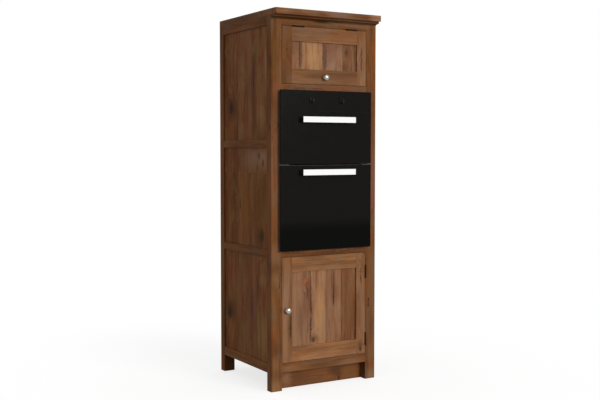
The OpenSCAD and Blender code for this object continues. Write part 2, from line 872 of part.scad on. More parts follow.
// Mineral wool round both cavities, with a well for the fan motor
module oven_insulation()
    color("#d8cf9a") difference() {
        block([-cav_x - sheet_t - wool_t, cav_x + sheet_t + wool_t],
            [wool_front, cav_d + sheet_t + wool_t],
            [main_cav_z[0] - sheet_t - wool_t, top_cav_z[1] + sheet_t + wool_t]);
        for (z = cav_zs)
            block([-cav_x - sheet_t, cav_x + sheet_t], [0, cav_d + sheet_t],
                [z[0] - sheet_t, z[1] + sheet_t]);
        rod_y(motor_r + motor_gap, 0, [cav_d, cav_d + sheet_t + wool_t + 1], fan_z);
    }

// A rubber ring round each cavity mouth, a running gap away from the closed door
module cavity_seals()
    color("#202020") for (z = cav_zs) difference() {
        block([-cav_x - seal_outer, cav_x + seal_outer], [frame_y[1] + run_gap, mask_y[0]],
            [z[0] - seal_outer, z[1] + seal_outer]);
        block([-cav_x - seal_inner, cav_x + seal_inner], [frame_y[1] - 1, 1],
            [z[0] - seal_inner, z[1] + seal_inner]);
    }

module control_glass()
    color(BLACK) difference() {
        block([-front_x, front_x], glass_y, control_z);
        for (side = [-1, 1])
            rod_y(shaft_r + 1, side * control_knob_x, [glass_y[0] - 1, glass_y[1] + 1], control_knob_z);
    }

// Tray behind the control glass
module control_housing()
    color(BLACK) difference() {
        block([-frame_x, frame_x], [glass_y[1], mask_y[0]],
            [control_z[0] + housing_inset, control_z[1] - housing_inset]);
        block([housing_wall - frame_x, frame_x - housing_wall], [glass_y[1] - 1, housing_back],
            [control_z[0] + housing_inset + housing_wall, control_z[1] - housing_inset - housing_wall]);
    }

module rotary_switches()
    color("#30302e") for (side = [-1, 1]) difference() {
        block([side * control_knob_x - switch_half, side * control_knob_x + switch_half],
            [housing_back - switch_d, housing_back],
            [control_knob_z - switch_half, control_knob_z + switch_half]);
        rod_y(shaft_r + fit, side * control_knob_x, [housing_back - switch_d - 1, housing_back - 1],
            control_knob_z);
    }

// Skirt, hub and grip bar of a control knob, on its shaft
module control_knob(x) {
    face = glass_y[0] - run_gap;
    nose = glass_y[0] - control_knob_d;
    skirt_y = face - knob_skirt_t;
    grip_half = control_knob_r - knob_step / 2;
    rod_y(control_knob_r, x, [skirt_y, face], control_knob_z);
    rod_y(control_knob_r - knob_step, x, [nose + knob_step, skirt_y + 1], control_knob_z);
    block([x - knob_grip_w / 2, x + knob_grip_w / 2], [nose, skirt_y + 1],
        [control_knob_z - grip_half, control_knob_z + grip_half]);
    rod_y(shaft_r, x, [face - 1, housing_back - shaft_gap], control_knob_z);
}

module control_knob_left() color(BLACK) control_knob(-control_knob_x);
module control_knob_right() color(BLACK) control_knob(control_knob_x);

// Wire ladders on both walls of a cavity
module ladder(z, levels)
    both_sides() {
        for (y = [rack_y[0] + guide_post_inset, rack_y[1] - guide_post_inset]) {
            rod_z(guide_r, guide_post_x, y, [z[0] + guide_post_drop, z[1] - guide_post_drop]);
            for (end = [z[0] + guide_foot_drop, z[1] - guide_foot_drop])
                rod_x(guide_r, [guide_post_x, cav_x], y, end);
        }
        for (level = levels)
            rod_y(guide_r, guide_x, [rack_y[0] - guide_end, rack_y[1] + guide_end], level);
    }

module rack_guides()
    color(STEEL) {
        ladder(top_cav_z, top_levels);
        ladder(main_cav_z, main_levels);
    }

// Half turn of heating tube in a level plane, opening towards +y or -y
module tube_bend(x, y, z, r, turn)
    translate([x, front + y, z]) rotate([0, 0, turn]) rotate_extrude(angle = 180)
        translate([r, 0]) circle(tube_r);

module grill_tube() {
    far = cav_d - grill_far;
    for (i = [0:5])
        rod_y(tube_r, (i - 2.5) * grill_pitch, [grill_near, i == 0 || i == 5 ? cav_d : far], grill_z);
    for (i = [0, 2, 4])
        tube_bend((i - 2) * grill_pitch, grill_near, grill_z, grill_pitch / 2, 180);
    for (i = [1, 3]) tube_bend((i - 2) * grill_pitch, far, grill_z, grill_pitch / 2, 0);
}

// Ring round the fan, with two straight legs brazed on that run to the back wall
module ring_tube() {
    leg_angle = 12;
    ring_y = cav_d - ring_gap;
    translate([0, front + ring_y, fan_z]) rotate([90, 0, 0]) rotate([0, 0, -90 + leg_angle])
        rotate_extrude(angle = 360 - 2 * leg_angle) translate([ring_r, 0]) circle(tube_r);
    for (side = [-1, 1]) {
        x = side * ring_r * sin(leg_angle);
        z = fan_z - ring_r * cos(leg_angle);
        rod_y(tube_r, x, [ring_y, cav_d], z);
        translate([x, front + ring_y, z]) sphere(tube_r + braze);
    }
}

module heating_elements()
    color("#6a6460") {
        grill_tube();
        ring_tube();
    }

// Baffle in front of the fan, on four stand-offs
module fan_cover() {
    half_w = cav_x - cover_margin[0];
    half_h = main_cav_h / 2 - cover_margin[1];
    slot_x = half_w - cover_slot_w - cover_hole_r - 2;
    color(ENAMEL) {
        difference() {
            block([-half_w, half_w], [cover_y, cover_y + sheet_t], [fan_z - half_h, fan_z + half_h]);
            for (ring = cover_rings) for (i = [0:ring / 2 - 1])
                rod_y(cover_hole_r, ring * cos(720 * i / ring), [cover_y - 1, cover_y + sheet_t + 1],
                    fan_z + ring * sin(720 * i / ring));
            both_sides() for (i = [-3:3])
                block([slot_x - cover_slot_w, slot_x], [cover_y - 1, cover_y + sheet_t + 1],
                    [fan_z + i * cover_slot_pitch - cover_slot_half,
                        fan_z + i * cover_slot_pitch + cover_slot_half]);
        }
        both_sides() for (side = [-1, 1])
            rod_y(standoff_r, half_w - standoff_r - 2, [cover_y + sheet_t, cav_d],
                fan_z + side * (half_h - 2 * standoff_r));
    }
}

module fan_motor()
    color(STEEL) difference() {
        union() {
            rod_y(motor_r, 0, [cav_d + sheet_t, cav_d + sheet_t + motor_flange_t], fan_z);
            rod_y(motor_can_r, 0, [cav_d + sheet_t, cav_d + sheet_t + motor_l], fan_z);
        }
        rod_y(fan_shaft_r + fit, 0, [cav_d, cav_d + sheet_t + shaft_reach + 4], fan_z);
    }

module fan() {
    plate = [fan_y, fan_y + fan_plate_t];
    color(STEEL) {
        difference() {
            rod_y(fan_r, 0, plate, fan_z);
            for (i = [0:4])
                rod_y(fan_hole_r, fan_hole_ring * cos(72 * i), [plate[0] - 1, plate[1] + 1],
                    fan_z + fan_hole_ring * sin(72 * i));
        }
        rod_y(fan_hub_r, 0, [fan_y - fan_depth, plate[1]], fan_z);
        rod_y(fan_shaft_r, 0, [fan_y - fan_depth, cav_d + sheet_t + shaft_reach], fan_z);
        for (i = [0:fan_blades - 1])
            translate([0, front + fan_y, fan_z]) rotate([0, 360 * i / fan_blades, 0])
                translate([fan_r - 2 - blade_w, -fan_depth, -fan_plate_t / 2])
                    cube([blade_w, fan_depth + 1, fan_plate_t]);
    }
}

// Round glass lamp lenses on the back walls
module oven_lamps()
    color("#e8e2c8") for (z = cav_zs) {
        rod_y(lamp_r[0], cav_x - lamp_inset, [cav_d - lamp_t[0], cav_d], z[1] - lamp_drop);
        rod_y(lamp_r[1], cav_x - lamp_inset, [cav_d - lamp_t[1], cav_d - lamp_t[0]], z[1] - lamp_drop);
    }

// Hinge boxes on the casing walls, with the arm and cross pin that carry a door
module oven_hinges()
    color(STEEL) both_sides() for (z = door_zs) {
        pivot = z[0] + pivot_rise;
        block(arm_x, [pivot_y, mask_y[0] - 1], [pivot - boss_r, pivot + arm_rise[1]]);
        block(arm_x, [mask_y[0] - 1, 20], [pivot + arm_rise[0], pivot + arm_rise[1]]);
        rod_x(boss_r, arm_x, pivot_y, pivot);
        rod_x(oven_pin_r, [arm_x[0] - lug_w, arm_x[1] + lug_w], pivot_y, pivot);
        block([arm_x[0] - lug_w, case_x - sheet_t], hinge_box_y,
            [pivot + arm_rise[0], pivot + arm_rise[0] + hinge_box_h]);
    }

module oven_screws()
    color(STEEL) both_sides() for (z = screw_zs) {
        rod_y(screw_r, screw_x, [mask_y[0] - 1, screw_l], z);
        rod_y(screw_head_r, screw_x, [mask_y[0] - screw_r, mask_y[0]], z);
    }

// Mains terminal box on the back of the casing
module terminal_box() {
    box_x = case_x - terminal_inset - terminal_w / 2;
    box_z = case_z[0] + terminal_inset;
    color(BLACK) difference() {
        block([box_x - terminal_w / 2, box_x + terminal_w / 2], [case_d, case_d + terminal_d],
            [box_z, box_z + terminal_h]);
        rod_z(cable_r, box_x, case_d + terminal_d / 2, [box_z - 1, box_z + cable_l]);
    }
}

// ---------------------------------------------------------------- oven doors

module door_glass(z) color(BLACK) block([-front_x, front_x], glass_y, z);

// Pressed frame behind the glass. Its lugs turn on the hinge pins, and its slots clear
// the arms. The handle brackets are bolted through the glass into it. Where cap is given,
// end caps stand on it between those heights.
module door_frame(z, drop, cap = []) {
    pivot = z[0] + pivot_rise;
    window = [z[0] + window_low, z[1] - window_high];
    difference() {
        union() {
            block([-frame_x, frame_x], frame_y, [pivot, z[1] - frame_top]);
            both_sides() block([arm_x[0] - lug_w - 1, arm_x[1] + lug_w + 1],
                [frame_y[0], frame_y[0] + lug_d], [pivot - lug_drop, pivot]);
            if (cap) both_sides() block([front_x - cap_l, front_x - cap_inset],
                [frame_y[0], frame_y[0] + cap_d], cap);
        }
        block([-window_x, window_x], [frame_y[0] - 1, frame_y[1] + 1], window);
        block([-window_x - rebate, window_x + rebate], [frame_y[1] - inner_glass_t, frame_y[1] + 1],
            [window[0] - rebate, window[1] + rebate]);
        both_sides() block([arm_x[0] - arm_gap, arm_x[1] + arm_gap], [frame_y[0] - 1, 1],
            [pivot - lug_drop - 1, pivot + arm_rise[1] + 1]);
        both_sides() rod_x(oven_pin_r + fit, [arm_x[0] - lug_w - run_gap, arm_x[1] + lug_w + run_gap],
            pivot_y, pivot);
    }
    both_sides() block([handle_l / 2 - bracket_w, handle_l / 2],
        [glass_y[0] - handle_out + handle_t, glass_y[0]],
        [z[1] - drop - handle_h / 2, z[1] - drop - handle_h / 2 + bracket_h]);
}

module inner_glass(z)
    color("#3a3f40") block([-window_x - rebate, window_x + rebate],
        [frame_y[1] - inner_glass_t, frame_y[1]],
        [z[0] + window_low - rebate, z[1] - window_high + rebate]);

module handle_bar(z, drop)
    color(BRIGHT) block([-handle_l / 2, handle_l / 2],
        [glass_y[0] - handle_out, glass_y[0] - handle_out + handle_t],
        [z[1] - drop - handle_h / 2, z[1] - drop + handle_h / 2]);

module top_door_glass() door_glass(top_door_z);
module top_door_frame() color(BLACK) door_frame(top_door_z, top_handle_drop);
module top_door_inner_glass() inner_glass(top_door_z);
module top_door_handle() handle_bar(top_door_z, top_handle_drop);
module main_door_glass() door_glass(main_door_z);
module main_door_frame() color(BLACK) door_frame(main_door_z, main_handle_drop, cap_z);
module main_door_inner_glass() inner_glass(main_door_z);
module main_door_handle() handle_bar(main_door_z, main_handle_drop);

// ---------------------------------------------------------------- racks and tray

module wire_rack(z) {
    pitch = 2 * rack_x / (rack_wires + 1);
    for (side = [-1, 1]) rod_y(rack_frame_r, side * rack_x, rack_y, z);
    for (y = rack_y) rod_x(rack_frame_r, [-rack_x, rack_x], y, z);
    for (i = [1:rack_wires]) rod_y(rack_wire_r, -rack_x + i * pitch, rack_y, z);
    for (side = [-1, 1], y = rack_y)
        translate([side * rack_x, front + y, z]) sphere(rack_frame_r);
}

module top_rack() color(STEEL) wire_rack(top_rack_z);
module main_rack() color(STEEL) wire_rack(main_rack_z);

module baking_tray() {
    half_w = guide_x - guide_r - tray_inset;
    rim = guide_post_x - guide_r - 1;
    body_y = [rack_y[0] + tray_rim, rack_y[1] - tray_rim];
    color(ENAMEL) difference() {
        union() {
            block([-half_w, half_w], body_y, [tray_rim_z - tray_h, tray_rim_z]);
            block([-rim, rim], rack_y, [tray_rim_z, tray_rim_z + tray_wall]);
        }
        block([tray_wall - half_w, half_w - tray_wall], [body_y[0] + tray_wall, body_y[1] - tray_wall],
            [tray_rim_z - tray_h + tray_wall, tray_rim_z + tray_wall + 1]);
    }
}

front_post_left();
front_post_right();
back_posts();
front_rails();
carcass_rails();
side_panels();
back_panels();
top_board();
cove_moulding();
plinth_board();
locker_floor();
oven_deck();
cupboard_floor();
floor_cleats();
cupboard_shelf();
shelf_pins();
frame_hinge_leaves();
catches_and_guide();
flap_stiles();
flap_rails();
flap_panel();
flap_knob();
flap_fittings();
quadrant_stay();
door_stiles();
door_rails();
door_panel();
door_knob();
door_fittings();
oven_casing();
oven_front_mask();
top_cavity();
main_cavity();
oven_insulation();
cavity_seals();
control_glass();
control_housing();
rotary_switches();
rack_guides();
heating_elements();
fan_cover();
fan_motor();
oven_lamps();
oven_hinges();
oven_screws();
terminal_box();
control_knob_left();
control_knob_right();
top_door_glass();
top_door_frame();
top_door_inner_glass();
top_door_handle();
main_door_glass();
main_door_frame();
main_door_inner_glass();
main_door_handle();
top_rack();
main_rack();
baking_tray();
fan();
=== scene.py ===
"""Looks of a tall oven housing unit, built round its packed construction model.

The unit is a framed timber cabinet on four post feet, with a lift-up locker flap, a
built-in double oven behind black glass and a cupboard below. Sizes are in millimetres
in the classes and in metres in Blender.
"""

from __future__ import annotations

import json
import logging
import math
import random
from dataclasses import dataclass
from enum import Enum
from functools import lru_cache
from typing import Any

import bmesh
import bpy
from mathutils import Euler, Matrix, Vector

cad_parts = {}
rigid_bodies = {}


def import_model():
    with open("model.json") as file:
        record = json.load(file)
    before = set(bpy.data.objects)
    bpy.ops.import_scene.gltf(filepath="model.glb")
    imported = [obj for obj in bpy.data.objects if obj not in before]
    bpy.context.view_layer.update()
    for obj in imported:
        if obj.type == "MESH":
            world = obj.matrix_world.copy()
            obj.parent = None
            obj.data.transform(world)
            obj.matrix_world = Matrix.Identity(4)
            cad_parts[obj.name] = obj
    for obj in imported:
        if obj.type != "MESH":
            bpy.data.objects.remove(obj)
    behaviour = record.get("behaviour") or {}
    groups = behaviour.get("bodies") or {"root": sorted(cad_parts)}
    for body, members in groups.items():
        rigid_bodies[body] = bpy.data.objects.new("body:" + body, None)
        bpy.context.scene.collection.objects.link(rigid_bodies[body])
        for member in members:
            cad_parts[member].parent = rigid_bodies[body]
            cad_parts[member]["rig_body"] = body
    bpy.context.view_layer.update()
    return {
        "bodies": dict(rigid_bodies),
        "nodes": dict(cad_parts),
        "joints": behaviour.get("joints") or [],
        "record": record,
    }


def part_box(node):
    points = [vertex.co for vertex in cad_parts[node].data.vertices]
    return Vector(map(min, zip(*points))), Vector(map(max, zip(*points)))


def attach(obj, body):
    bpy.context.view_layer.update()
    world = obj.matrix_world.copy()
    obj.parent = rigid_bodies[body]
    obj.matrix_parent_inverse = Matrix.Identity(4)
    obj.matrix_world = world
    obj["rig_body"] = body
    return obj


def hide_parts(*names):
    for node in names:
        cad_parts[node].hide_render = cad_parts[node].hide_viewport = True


LOG = logging.getLogger("oven_housing")
MM = 0.001
# Points of a construction mesh closer than this are one point, in metres
WELD = 2e-6
# A turned shape's points closer than this are one point, in metres
POLE_WELD = 1e-6
# Faces that meet flatter than this are one face
FLAT = math.radians(0.5)
# Edges that turn more than this are eased, where they are longer than 10 mm
SHARP = 0.7
SHORTEST_EDGE = 10 * MM
# Edges of a turned shape that turn less than this are shaded smooth
ROUND = 0.6

Socket = bpy.types.NodeSocket
BMesh = bmesh.types.BMesh
Triple = tuple[float, float, float]
WHITE = (1.0, 1.0, 1.0, 1.0)


class GrainAxis(Enum):
    """The direction that the grain of a board runs in."""

    LONGEST = -1
    X = 0
    Y = 1
    Z = 2


# --------------------------------------------------------------------------- materials


def linear(colour: str) -> tuple[float, float, float, float]:
    """Turns an sRGB hex colour into linear values.

    Args:
        colour: a colour such as "#6b4629".

    Returns:
        Linear red, green and blue, with an alpha of 1.
    """
    parts = [int(colour[i : i + 2], 16) / 255 for i in (1, 3, 5)]
    values = [c / 12.92 if c <= 0.04045 else ((c + 0.055) / 1.055) ** 2.4 for c in parts]
    return (values[0], values[1], values[2], 1.0)


@dataclass(frozen=True)
class Coat:
    """The node tree of one material, which a finish adds its pattern to."""

    tree: bpy.types.NodeTree

    def fill(self, node: bpy.types.Node, inputs: dict[Any, Any]) -> None:
        """Sets or links inputs of a node.

        Args:
            node: the node.
            inputs: a value or an output for each input, by name or number.
        """
        for key, value in inputs.items():
            if isinstance(value, Socket):
                self.tree.links.new(value, node.inputs[key])
            else:
                node.inputs[key].default_value = value

    def shade(self, inputs: dict[Any, Any]) -> None:
        """Sets or links inputs of the shader, as fill does for any node."""
        self.fill(self.tree.nodes["Principled BSDF"], inputs)

    def add(self, kind: str, inputs: dict[Any, Any], out: int | str = 0, **settings: Any) -> Socket:
        """Adds one shader node with its settings, values and links.

        Args:
            kind: the node's type without the leading ShaderNode.
            inputs: a value or an output for each input, by name or number.
            out: the output that is handed back, by name or number.
            settings: attributes of the node.

        Returns:
            That output of the new node.
        """
        node = self.tree.nodes.new("ShaderNode" + kind)
        for key, value in settings.items():
            setattr(node, key, value)
        self.fill(node, inputs)
        return node.outputs[out]

    def lay(self, under: Any, over: str, mask: Any, amount: float,
            span: tuple[float, float] | None = None) -> Socket:
        """Lays one colour over another through a mask.

        Args:
            under: the lower colour, as hex or as an output.
            over: the upper colour, as hex.
            mask: where the upper colour shows.
            amount: how strongly the upper colour covers.
            span: the mask's levels that count as none and all, if they aren't 0 and 1.

        Returns:
            The mixed colour.
        """
        if span:
            mask = self.add("MapRange", {0: mask, 1: span[0], 2: span[1]},
                            interpolation_type="SMOOTHSTEP")
        factor = self.add("Math", {0: mask, 1: amount}, operation="MULTIPLY", use_clamp=True)
        lower = linear(under) if isinstance(under, str) else under
        return self.add("Mix", {0: factor, 6: lower, 7: linear(over)}, 2, data_type="RGBA")


@dataclass(frozen=True)
class Finish:
    """What a surface is made of and how it was made."""

    name: str
    colour: str
    roughness: float = 0.5

    def dress(self, coat: Coat, place: Socket) -> None:
        """Sets the shader's colour and roughness, which a finish with a pattern adds to."""
        coat.shade({"Base Color": linear(self.colour), "Roughness": self.roughness})


@lru_cache(maxsize=None)
def material_of(finish: Finish) -> bpy.types.Material:
    """Makes the material of a finish, once.

    Args:
        finish: the finish to turn into a material.

    Returns:
        The Blender material.
    """
    material = bpy.data.materials.new(finish.name)
    material.use_nodes = True
    coat = Coat(material.node_tree)
    finish.dress(coat, coat.add("TexCoord", {}, "Object"))
    return material


@dataclass(frozen=True)
class Knot:
    """A knot on a board's face: where it is across and up, its half height, and its darkness.

    Its depth is its place square to the face, where that isn't the timber's usual face.
    """

    across: float
    z: float
    r: float
    dark: float
    depth: float | None = None


@dataclass(frozen=True)
class Crack:
    """A dark weathered line along the grain, at a place across it and over a height range."""

    across: float
    low: float
    high: float
    width: float


@dataclass(frozen=True)
class StainAndPaintedLight:
    """A soft patch of another colour on a board's face: its middle and half sizes. Most are stains; a few
    are painted light or painted shade.

    Its depth is its place square to the face, where that isn't the timber's usual face.
    """

    across: float
    z: float
    wide: float
    tall: float
    colour: str
    amount: float = 0.6
    depth: float | None = None


@dataclass(frozen=True)
class Timber(Finish):
    """Reclaimed pine, planed, stained brown and waxed.

    It gives the eye long soft bands of brown, reddish and dusty patches, dark weathered
    streaks, fine fibre and a few knots with the grain flowing round them, under a low sheen.
    The grain attribute of each board holds the distance along, across and through it.
    """

    light: str = "#a3774f"
    deep: str = "#4b2b17"
    streak: str = "#2c180d"
    streaks: float = 0.45
    ruddy: str = "#84432a"
    dusty: str = "#75604c"
    mottle: float = 0.34
    heart: str = "#271309"
    seam: str = "#2a160c"
    joints: float = 0.4
    joint_w: float = 1.1
    face: float = -290.0
    plank_axis: GrainAxis = GrainAxis.X
    plank_edges: tuple[float, ...] = ()
    plank_colours: tuple[str, ...] = ()
    level_edges: tuple[float, ...] = ()
    knots: tuple[Knot, ...] = ()
    cracks: tuple[Crack, ...] = ()
    stains_and_painted_light: tuple[StainAndPaintedLight, ...] = ()

    def dress(self, coat: Coat, place: Socket) -> None:
        """Builds the stained timber.

        Args:
            coat: the material's nodes.
            place: the object coordinate.
        """
        grain = coat.add("Attribute", {}, "Vector", attribute_name="grain")
        tone_and_light = coat.add("Attribute", {}, "Fac", attribute_name="tone_and_light")
        apart = coat.add("SeparateXYZ", {0: place}).node.outputs
        across, height = apart[self.plank_axis.value], apart[2]
        colour: Any = self.colour
        joint: Any = 0.0
        if self.plank_edges:
            colour, grain, joint = self.planks(coat, across, height, grain)
        knot, swirl = self.knot_mask(coat, grain, place)
        bent = self.bent_grain(coat, grain, swirl)

        # Growth rings about 13 mm apart on the face, round a pith 90 mm behind it
        ring_at = coat.add("Mapping", {0: bent, "Location": (0, 0.02, 0.09), "Scale": (0.05, 1, 1)})
        ring = coat.add("TexWave", {0: ring_at, "Scale": 24.0, "Distortion": 1.2, "Detail": 2.0,
                                    "Detail Scale": 0.12}, "Fac",
                        wave_type="RINGS", rings_direction="X", wave_profile="SAW")
        # Fibre, 2.5 mm across and 80 mm along: real pores are finer, and this still shows
        fibre = self.long_noise(coat, bent, (12, 400, 400), 3.0, 0.7)
        # Bands of stain 40 mm across and 600 mm along
        band = self.long_noise(coat, bent, (1.7, 26, 26), 4.0, 0.6)
        # Dark weathered streaks, 12 mm across and 350 mm long, in patches of 100 mm by 800 mm
        dark = self.long_noise(coat, bent, (2.8, 85, 85), 5.0, 0.72)
        patch = self.long_noise(coat, grain, (1.3, 10, 10), 1.0, 0.5)
        # Mottling of old boards, 45 mm across and 120 mm along, and grime in patches of 200 mm
        mottled = self.long_noise(coat, bent, (8, 22, 22), 4.0, 0.62)
        grime = self.long_noise(coat, grain, (3, 6, 6), 3.0, 0.55)
        fibre_mask, dark_mask, patch_mask = (
            coat.add("MapRange", {0: noise, 1: low, 2: high}, interpolation_type="SMOOTHSTEP")
            for noise, low, high in ((fibre, 0.5, 0.72), (dark, 0.5, 0.7), (patch, 0.44, 0.58))
        )
        dark_mask = coat.add("Math", {0: dark_mask, 1: patch_mask}, operation="MULTIPLY")
        crack = self.crack_mask(coat, across, height, bent, band, dark)

        # The layers from the bottom up: mask, colour, strength and the mask's levels
        layers = [
            (band, self.light, 0.55, (0.44, 0.64)),
            (band, self.deep, 0.6, (0.48, 0.32)),
            (ring, self.deep, 0.18, None),
            (mottled, self.ruddy, self.mottle, (0.49, 0.64)),
            (mottled, self.dusty, self.mottle, (0.47, 0.34)),
            (grime, self.deep, 0.4, (0.5, 0.68)),
        ]
        # Patches of stain, and a few of painted light and painted shade, streaked by the bands
        if self.stains_and_painted_light:
            rag = coat.add("MapRange", {0: band, 1: 0.35, 2: 0.55, 3: 0.55, 4: 1.0})
            layers += [(self.stain_and_light_mask(coat, place, rag, stain_and_light), stain_and_light.colour, stain_and_light.amount, None)
                       for stain_and_light in self.stains_and_painted_light]
        layers += [
            (fibre_mask, self.streak, 0.26, None),
            (dark_mask, self.streak, self.streaks, None),
            (crack, self.streak, 0.85, None),
            (knot, self.heart, 0.85, None),
            (joint, self.seam, self.joints, None),
        ]
        for mask, over, amount, span in layers:
            colour = coat.lay(colour, over, mask, amount, span)
        # Each board's level, which on the cove and the top front rail is painted shade and painted light
        value = coat.add("MapRange", {0: tone_and_light, 1: -1.0, 2: 1.0, 3: 0.5, 4: 1.5})
        toned = coat.add("HueSaturation", {"Value": value, "Color": colour})

        rough = coat.add("MapRange", {0: fibre, 1: 0.3, 2: 0.8, 3: self.roughness - 0.07,
                                      4: self.roughness + 0.12})
        # Pores, streaks and joints lie up to 0.7 mm below the planed face
        relief: Any = 0.5
        for mask, sunk in ((fibre_mask, -0.6), (dark_mask, -0.8), (joint, -1.0)):
            relief = coat.add("Math", {0: mask, 1: sunk, 2: relief}, operation="MULTIPLY_ADD")
        bump = coat.add("Bump", {"Strength": 0.5, "Distance": 0.0007, "Height": relief})
        coat.shade({"Base Color": toned, "Roughness": rough, "Specular IOR Level": 0.04,
                    "Normal": bump})

    @staticmethod
    def bent_grain(coat: Coat, grain: Socket, swirl: Socket) -> Socket:
        """Sways the grain as a trunk grows and pushes it round the knots.

        Args:
            coat: the material's nodes.
            grain: the grain coordinate.
            swirl: the sideways push of the knots, in metres.

        Returns:
            The bent grain coordinate.
        """
        # Long waves of the trunk, 140 mm across and 800 mm along, up to 22 mm off
        sway_at = coat.add("Mapping", {0: grain, "Scale": (1.2, 7.0, 7.0)})
        sway = coat.add("TexNoise", {0: sway_at, "Scale": 1.0, "Detail": 2.0}, "Color")
        centred = coat.add("VectorMath", {0: sway, 1: (0.5, 0.5, 0.5)}, operation="SUBTRACT")
        bent = coat.add("VectorMath", {0: centred, 1: (0.045, 0.045, 0.045), 2: grain},
                        operation="MULTIPLY_ADD")
        push = coat.add("CombineXYZ", {1: swirl, 2: swirl})
        return coat.add("VectorMath", {0: bent, 1: push}, operation="ADD")

    @staticmethod
    def long_noise(coat: Coat, vector: Socket, scale: Triple, detail: float,
                   roughness: float) -> Socket:
        """Noise drawn out along the grain; its scale is repeats per metre along, across and through."""
        at = coat.add("Mapping", {0: vector, "Scale": scale})
        return coat.add("TexNoise", {0: at, "Scale": 1.0, "Detail": detail, "Roughness": roughness})

    def nearness(self, coat: Coat, place: Socket, mark: Knot | StainAndPaintedLight, half: Triple) -> Socket:
        """How far a point is from the middle of a mark, counted in half sizes.

        Args:
            coat: the material's nodes.
            place: the object coordinate.
            mark: the knot or stain.
            half: its half sizes, in millimetres.

        Returns:
            The distance, 1 on the rim.
        """
        depth = self.face if mark.depth is None else mark.depth
        centre = (mark.across, depth, mark.z)
        if self.plank_axis is GrainAxis.Y:
            centre = (depth, mark.across, mark.z)
        middle = tuple(value * MM for value in centre)
        gap = coat.add("VectorMath", {0: place, 1: middle}, operation="SUBTRACT")
        per_half = tuple(1 / (value * MM) for value in half)
        scaled = coat.add("VectorMath", {0: gap, 1: per_half}, operation="MULTIPLY")
        return coat.add("VectorMath", {0: scaled}, "Value", operation="LENGTH")

    def stain_and_light_mask(self, coat: Coat, place: Socket, rag: Socket, stain_and_light: StainAndPaintedLight) -> Socket:
        """A soft patch that is streaked by the bands of the board.

        Args:
            coat: the material's nodes.
            place: the object coordinate.
            rag: how much the bands let the patch show.
            stain_and_light: the patch.

        Returns:
            The patch's mask.
        """
        away = self.nearness(coat, place, stain_and_light, (stain_and_light.wide, stain_and_light.wide, stain_and_light.tall))
        spot = coat.add("MapRange", {0: away, 1: 1.3, 2: 0.1}, interpolation_type="SMOOTHSTEP")
        return coat.add("Math", {0: spot, 1: rag}, operation="MULTIPLY")

    def planks(self, coat: Coat, across: Socket, height: Socket, grain: Socket) -> tuple[Any, Any, Any]:
        """Divides a panel into planks with their own colour and figure.

        Args:
            coat: the material's nodes.
            across: the coordinate across the planks, in metres.
            height: the height coordinate, in metres.
            grain: the grain coordinate.

        Returns:
            The planks' colour, the shifted grain coordinate and the mask of the joints.
        """
        low = self.plank_edges[0] * MM
        high = self.plank_edges[-1] * MM
        where = coat.add("MapRange", {0: across, 1: low, 2: high})
        colour = coat.add("ValToRGB", {0: where})
        ramp = colour.node.color_ramp
        ramp.interpolation = "CONSTANT"
        while len(ramp.elements) < len(self.plank_colours):
            ramp.elements.new(1.0)
        for stop, edge, name in zip(ramp.elements, self.plank_edges, self.plank_colours):
            stop.position = (edge * MM - low) / (high - low)
            stop.color = linear(name)
        shift: Any = 0.0
        joint: Any = 0.0
        for edge in self.plank_edges[1:-1]:
            past = coat.add("Math", {0: across, 1: edge * MM}, operation="GREATER_THAN")
            shift = coat.add("Math", {0: past, 1: shift}, operation="ADD")
            line = coat.add("Math", {0: across, 1: edge * MM, 2: self.joint_w * MM},
                            operation="COMPARE")
            joint = coat.add("Math", {0: line, 1: joint}, operation="MAXIMUM")
        for edge in self.level_edges:
            past = coat.add("Math", {0: height, 1: edge * MM}, operation="GREATER_THAN")
            shift = coat.add("Math", {0: past, 1: 4.0, 2: shift}, operation="MULTIPLY_ADD")
        # Each plank takes its figure from another place in the trunk
        moved = coat.add("CombineXYZ", {0: shift, 1: shift, 2: shift})
        grain = coat.add("VectorMath", {0: moved, 1: (1.37, 0.73, 0.41), 2: grain},
                         operation="MULTIPLY_ADD")
        return colour, grain, joint

    def knot_mask(self, coat: Coat, grain: Socket, place: Socket) -> tuple[Socket, Socket]:
        """Scattered knots and the ones at known places, with the push that bends the rings.

        Args:
            coat: the material's nodes.
            grain: the grain coordinate.
            place: the object coordinate.

        Returns:
            The knots' mask and the sideways push in metres.
        """
        # Small knots about 300 mm apart, 16 mm across
        cell = coat.add("TexVoronoi", {"Vector": grain, "Scale": 3.1})
        mask = coat.add("MapRange", {0: cell, 1: 0.012, 2: 0.034, 3: 0.8, 4: 0.0},
                        interpolation_type="SMOOTHSTEP")
        push = coat.add("MapRange", {0: cell, 1: 0.0, 2: 0.3, 3: 0.03, 4: 0.0},
                        interpolation_type="SMOOTHERSTEP")
        for knot in self.knots:
            # A knot is taller than wide, and bends the grain as far as five of its half sizes off
            away = self.nearness(coat, place, knot, (knot.r / 1.6, knot.r / 1.6, knot.r))
            spot = coat.add("MapRange", {0: away, 1: 0.35, 2: 1.25, 3: knot.dark, 4: 0.0},
                            interpolation_type="SMOOTHSTEP")
            wide = coat.add("MapRange", {0: away, 1: 0.0, 2: 5.0, 3: 0.05, 4: 0.0},
                            interpolation_type="SMOOTHERSTEP")
            mask = coat.add("Math", {0: mask, 1: spot}, operation="MAXIMUM")
            push = coat.add("Math", {0: push, 1: wide}, operation="MAXIMUM")
        return mask, push

    def crack_mask(self, coat: Coat, across: Socket, height: Socket, bent: Socket, sway: Socket,
                   rag: Socket) -> Any:
        """Dark lines at known places, ragged along their length.

        Args:
            coat: the material's nodes.
            across: the coordinate across the grain, in metres.
            height: the height coordinate, in metres.
            bent: the bent grain coordinate.
            sway: the slow noise that the lines wander with.
            rag: the fine noise that breaks the lines up.

        Returns:
            The cracks' mask.
        """
        if not self.cracks:
            return 0.0
        # Splinters along a crack, 12 mm long and up to 4 mm off its line
        jag = self.long_noise(coat, bent, (80, 35, 35), 3.0, 0.65)
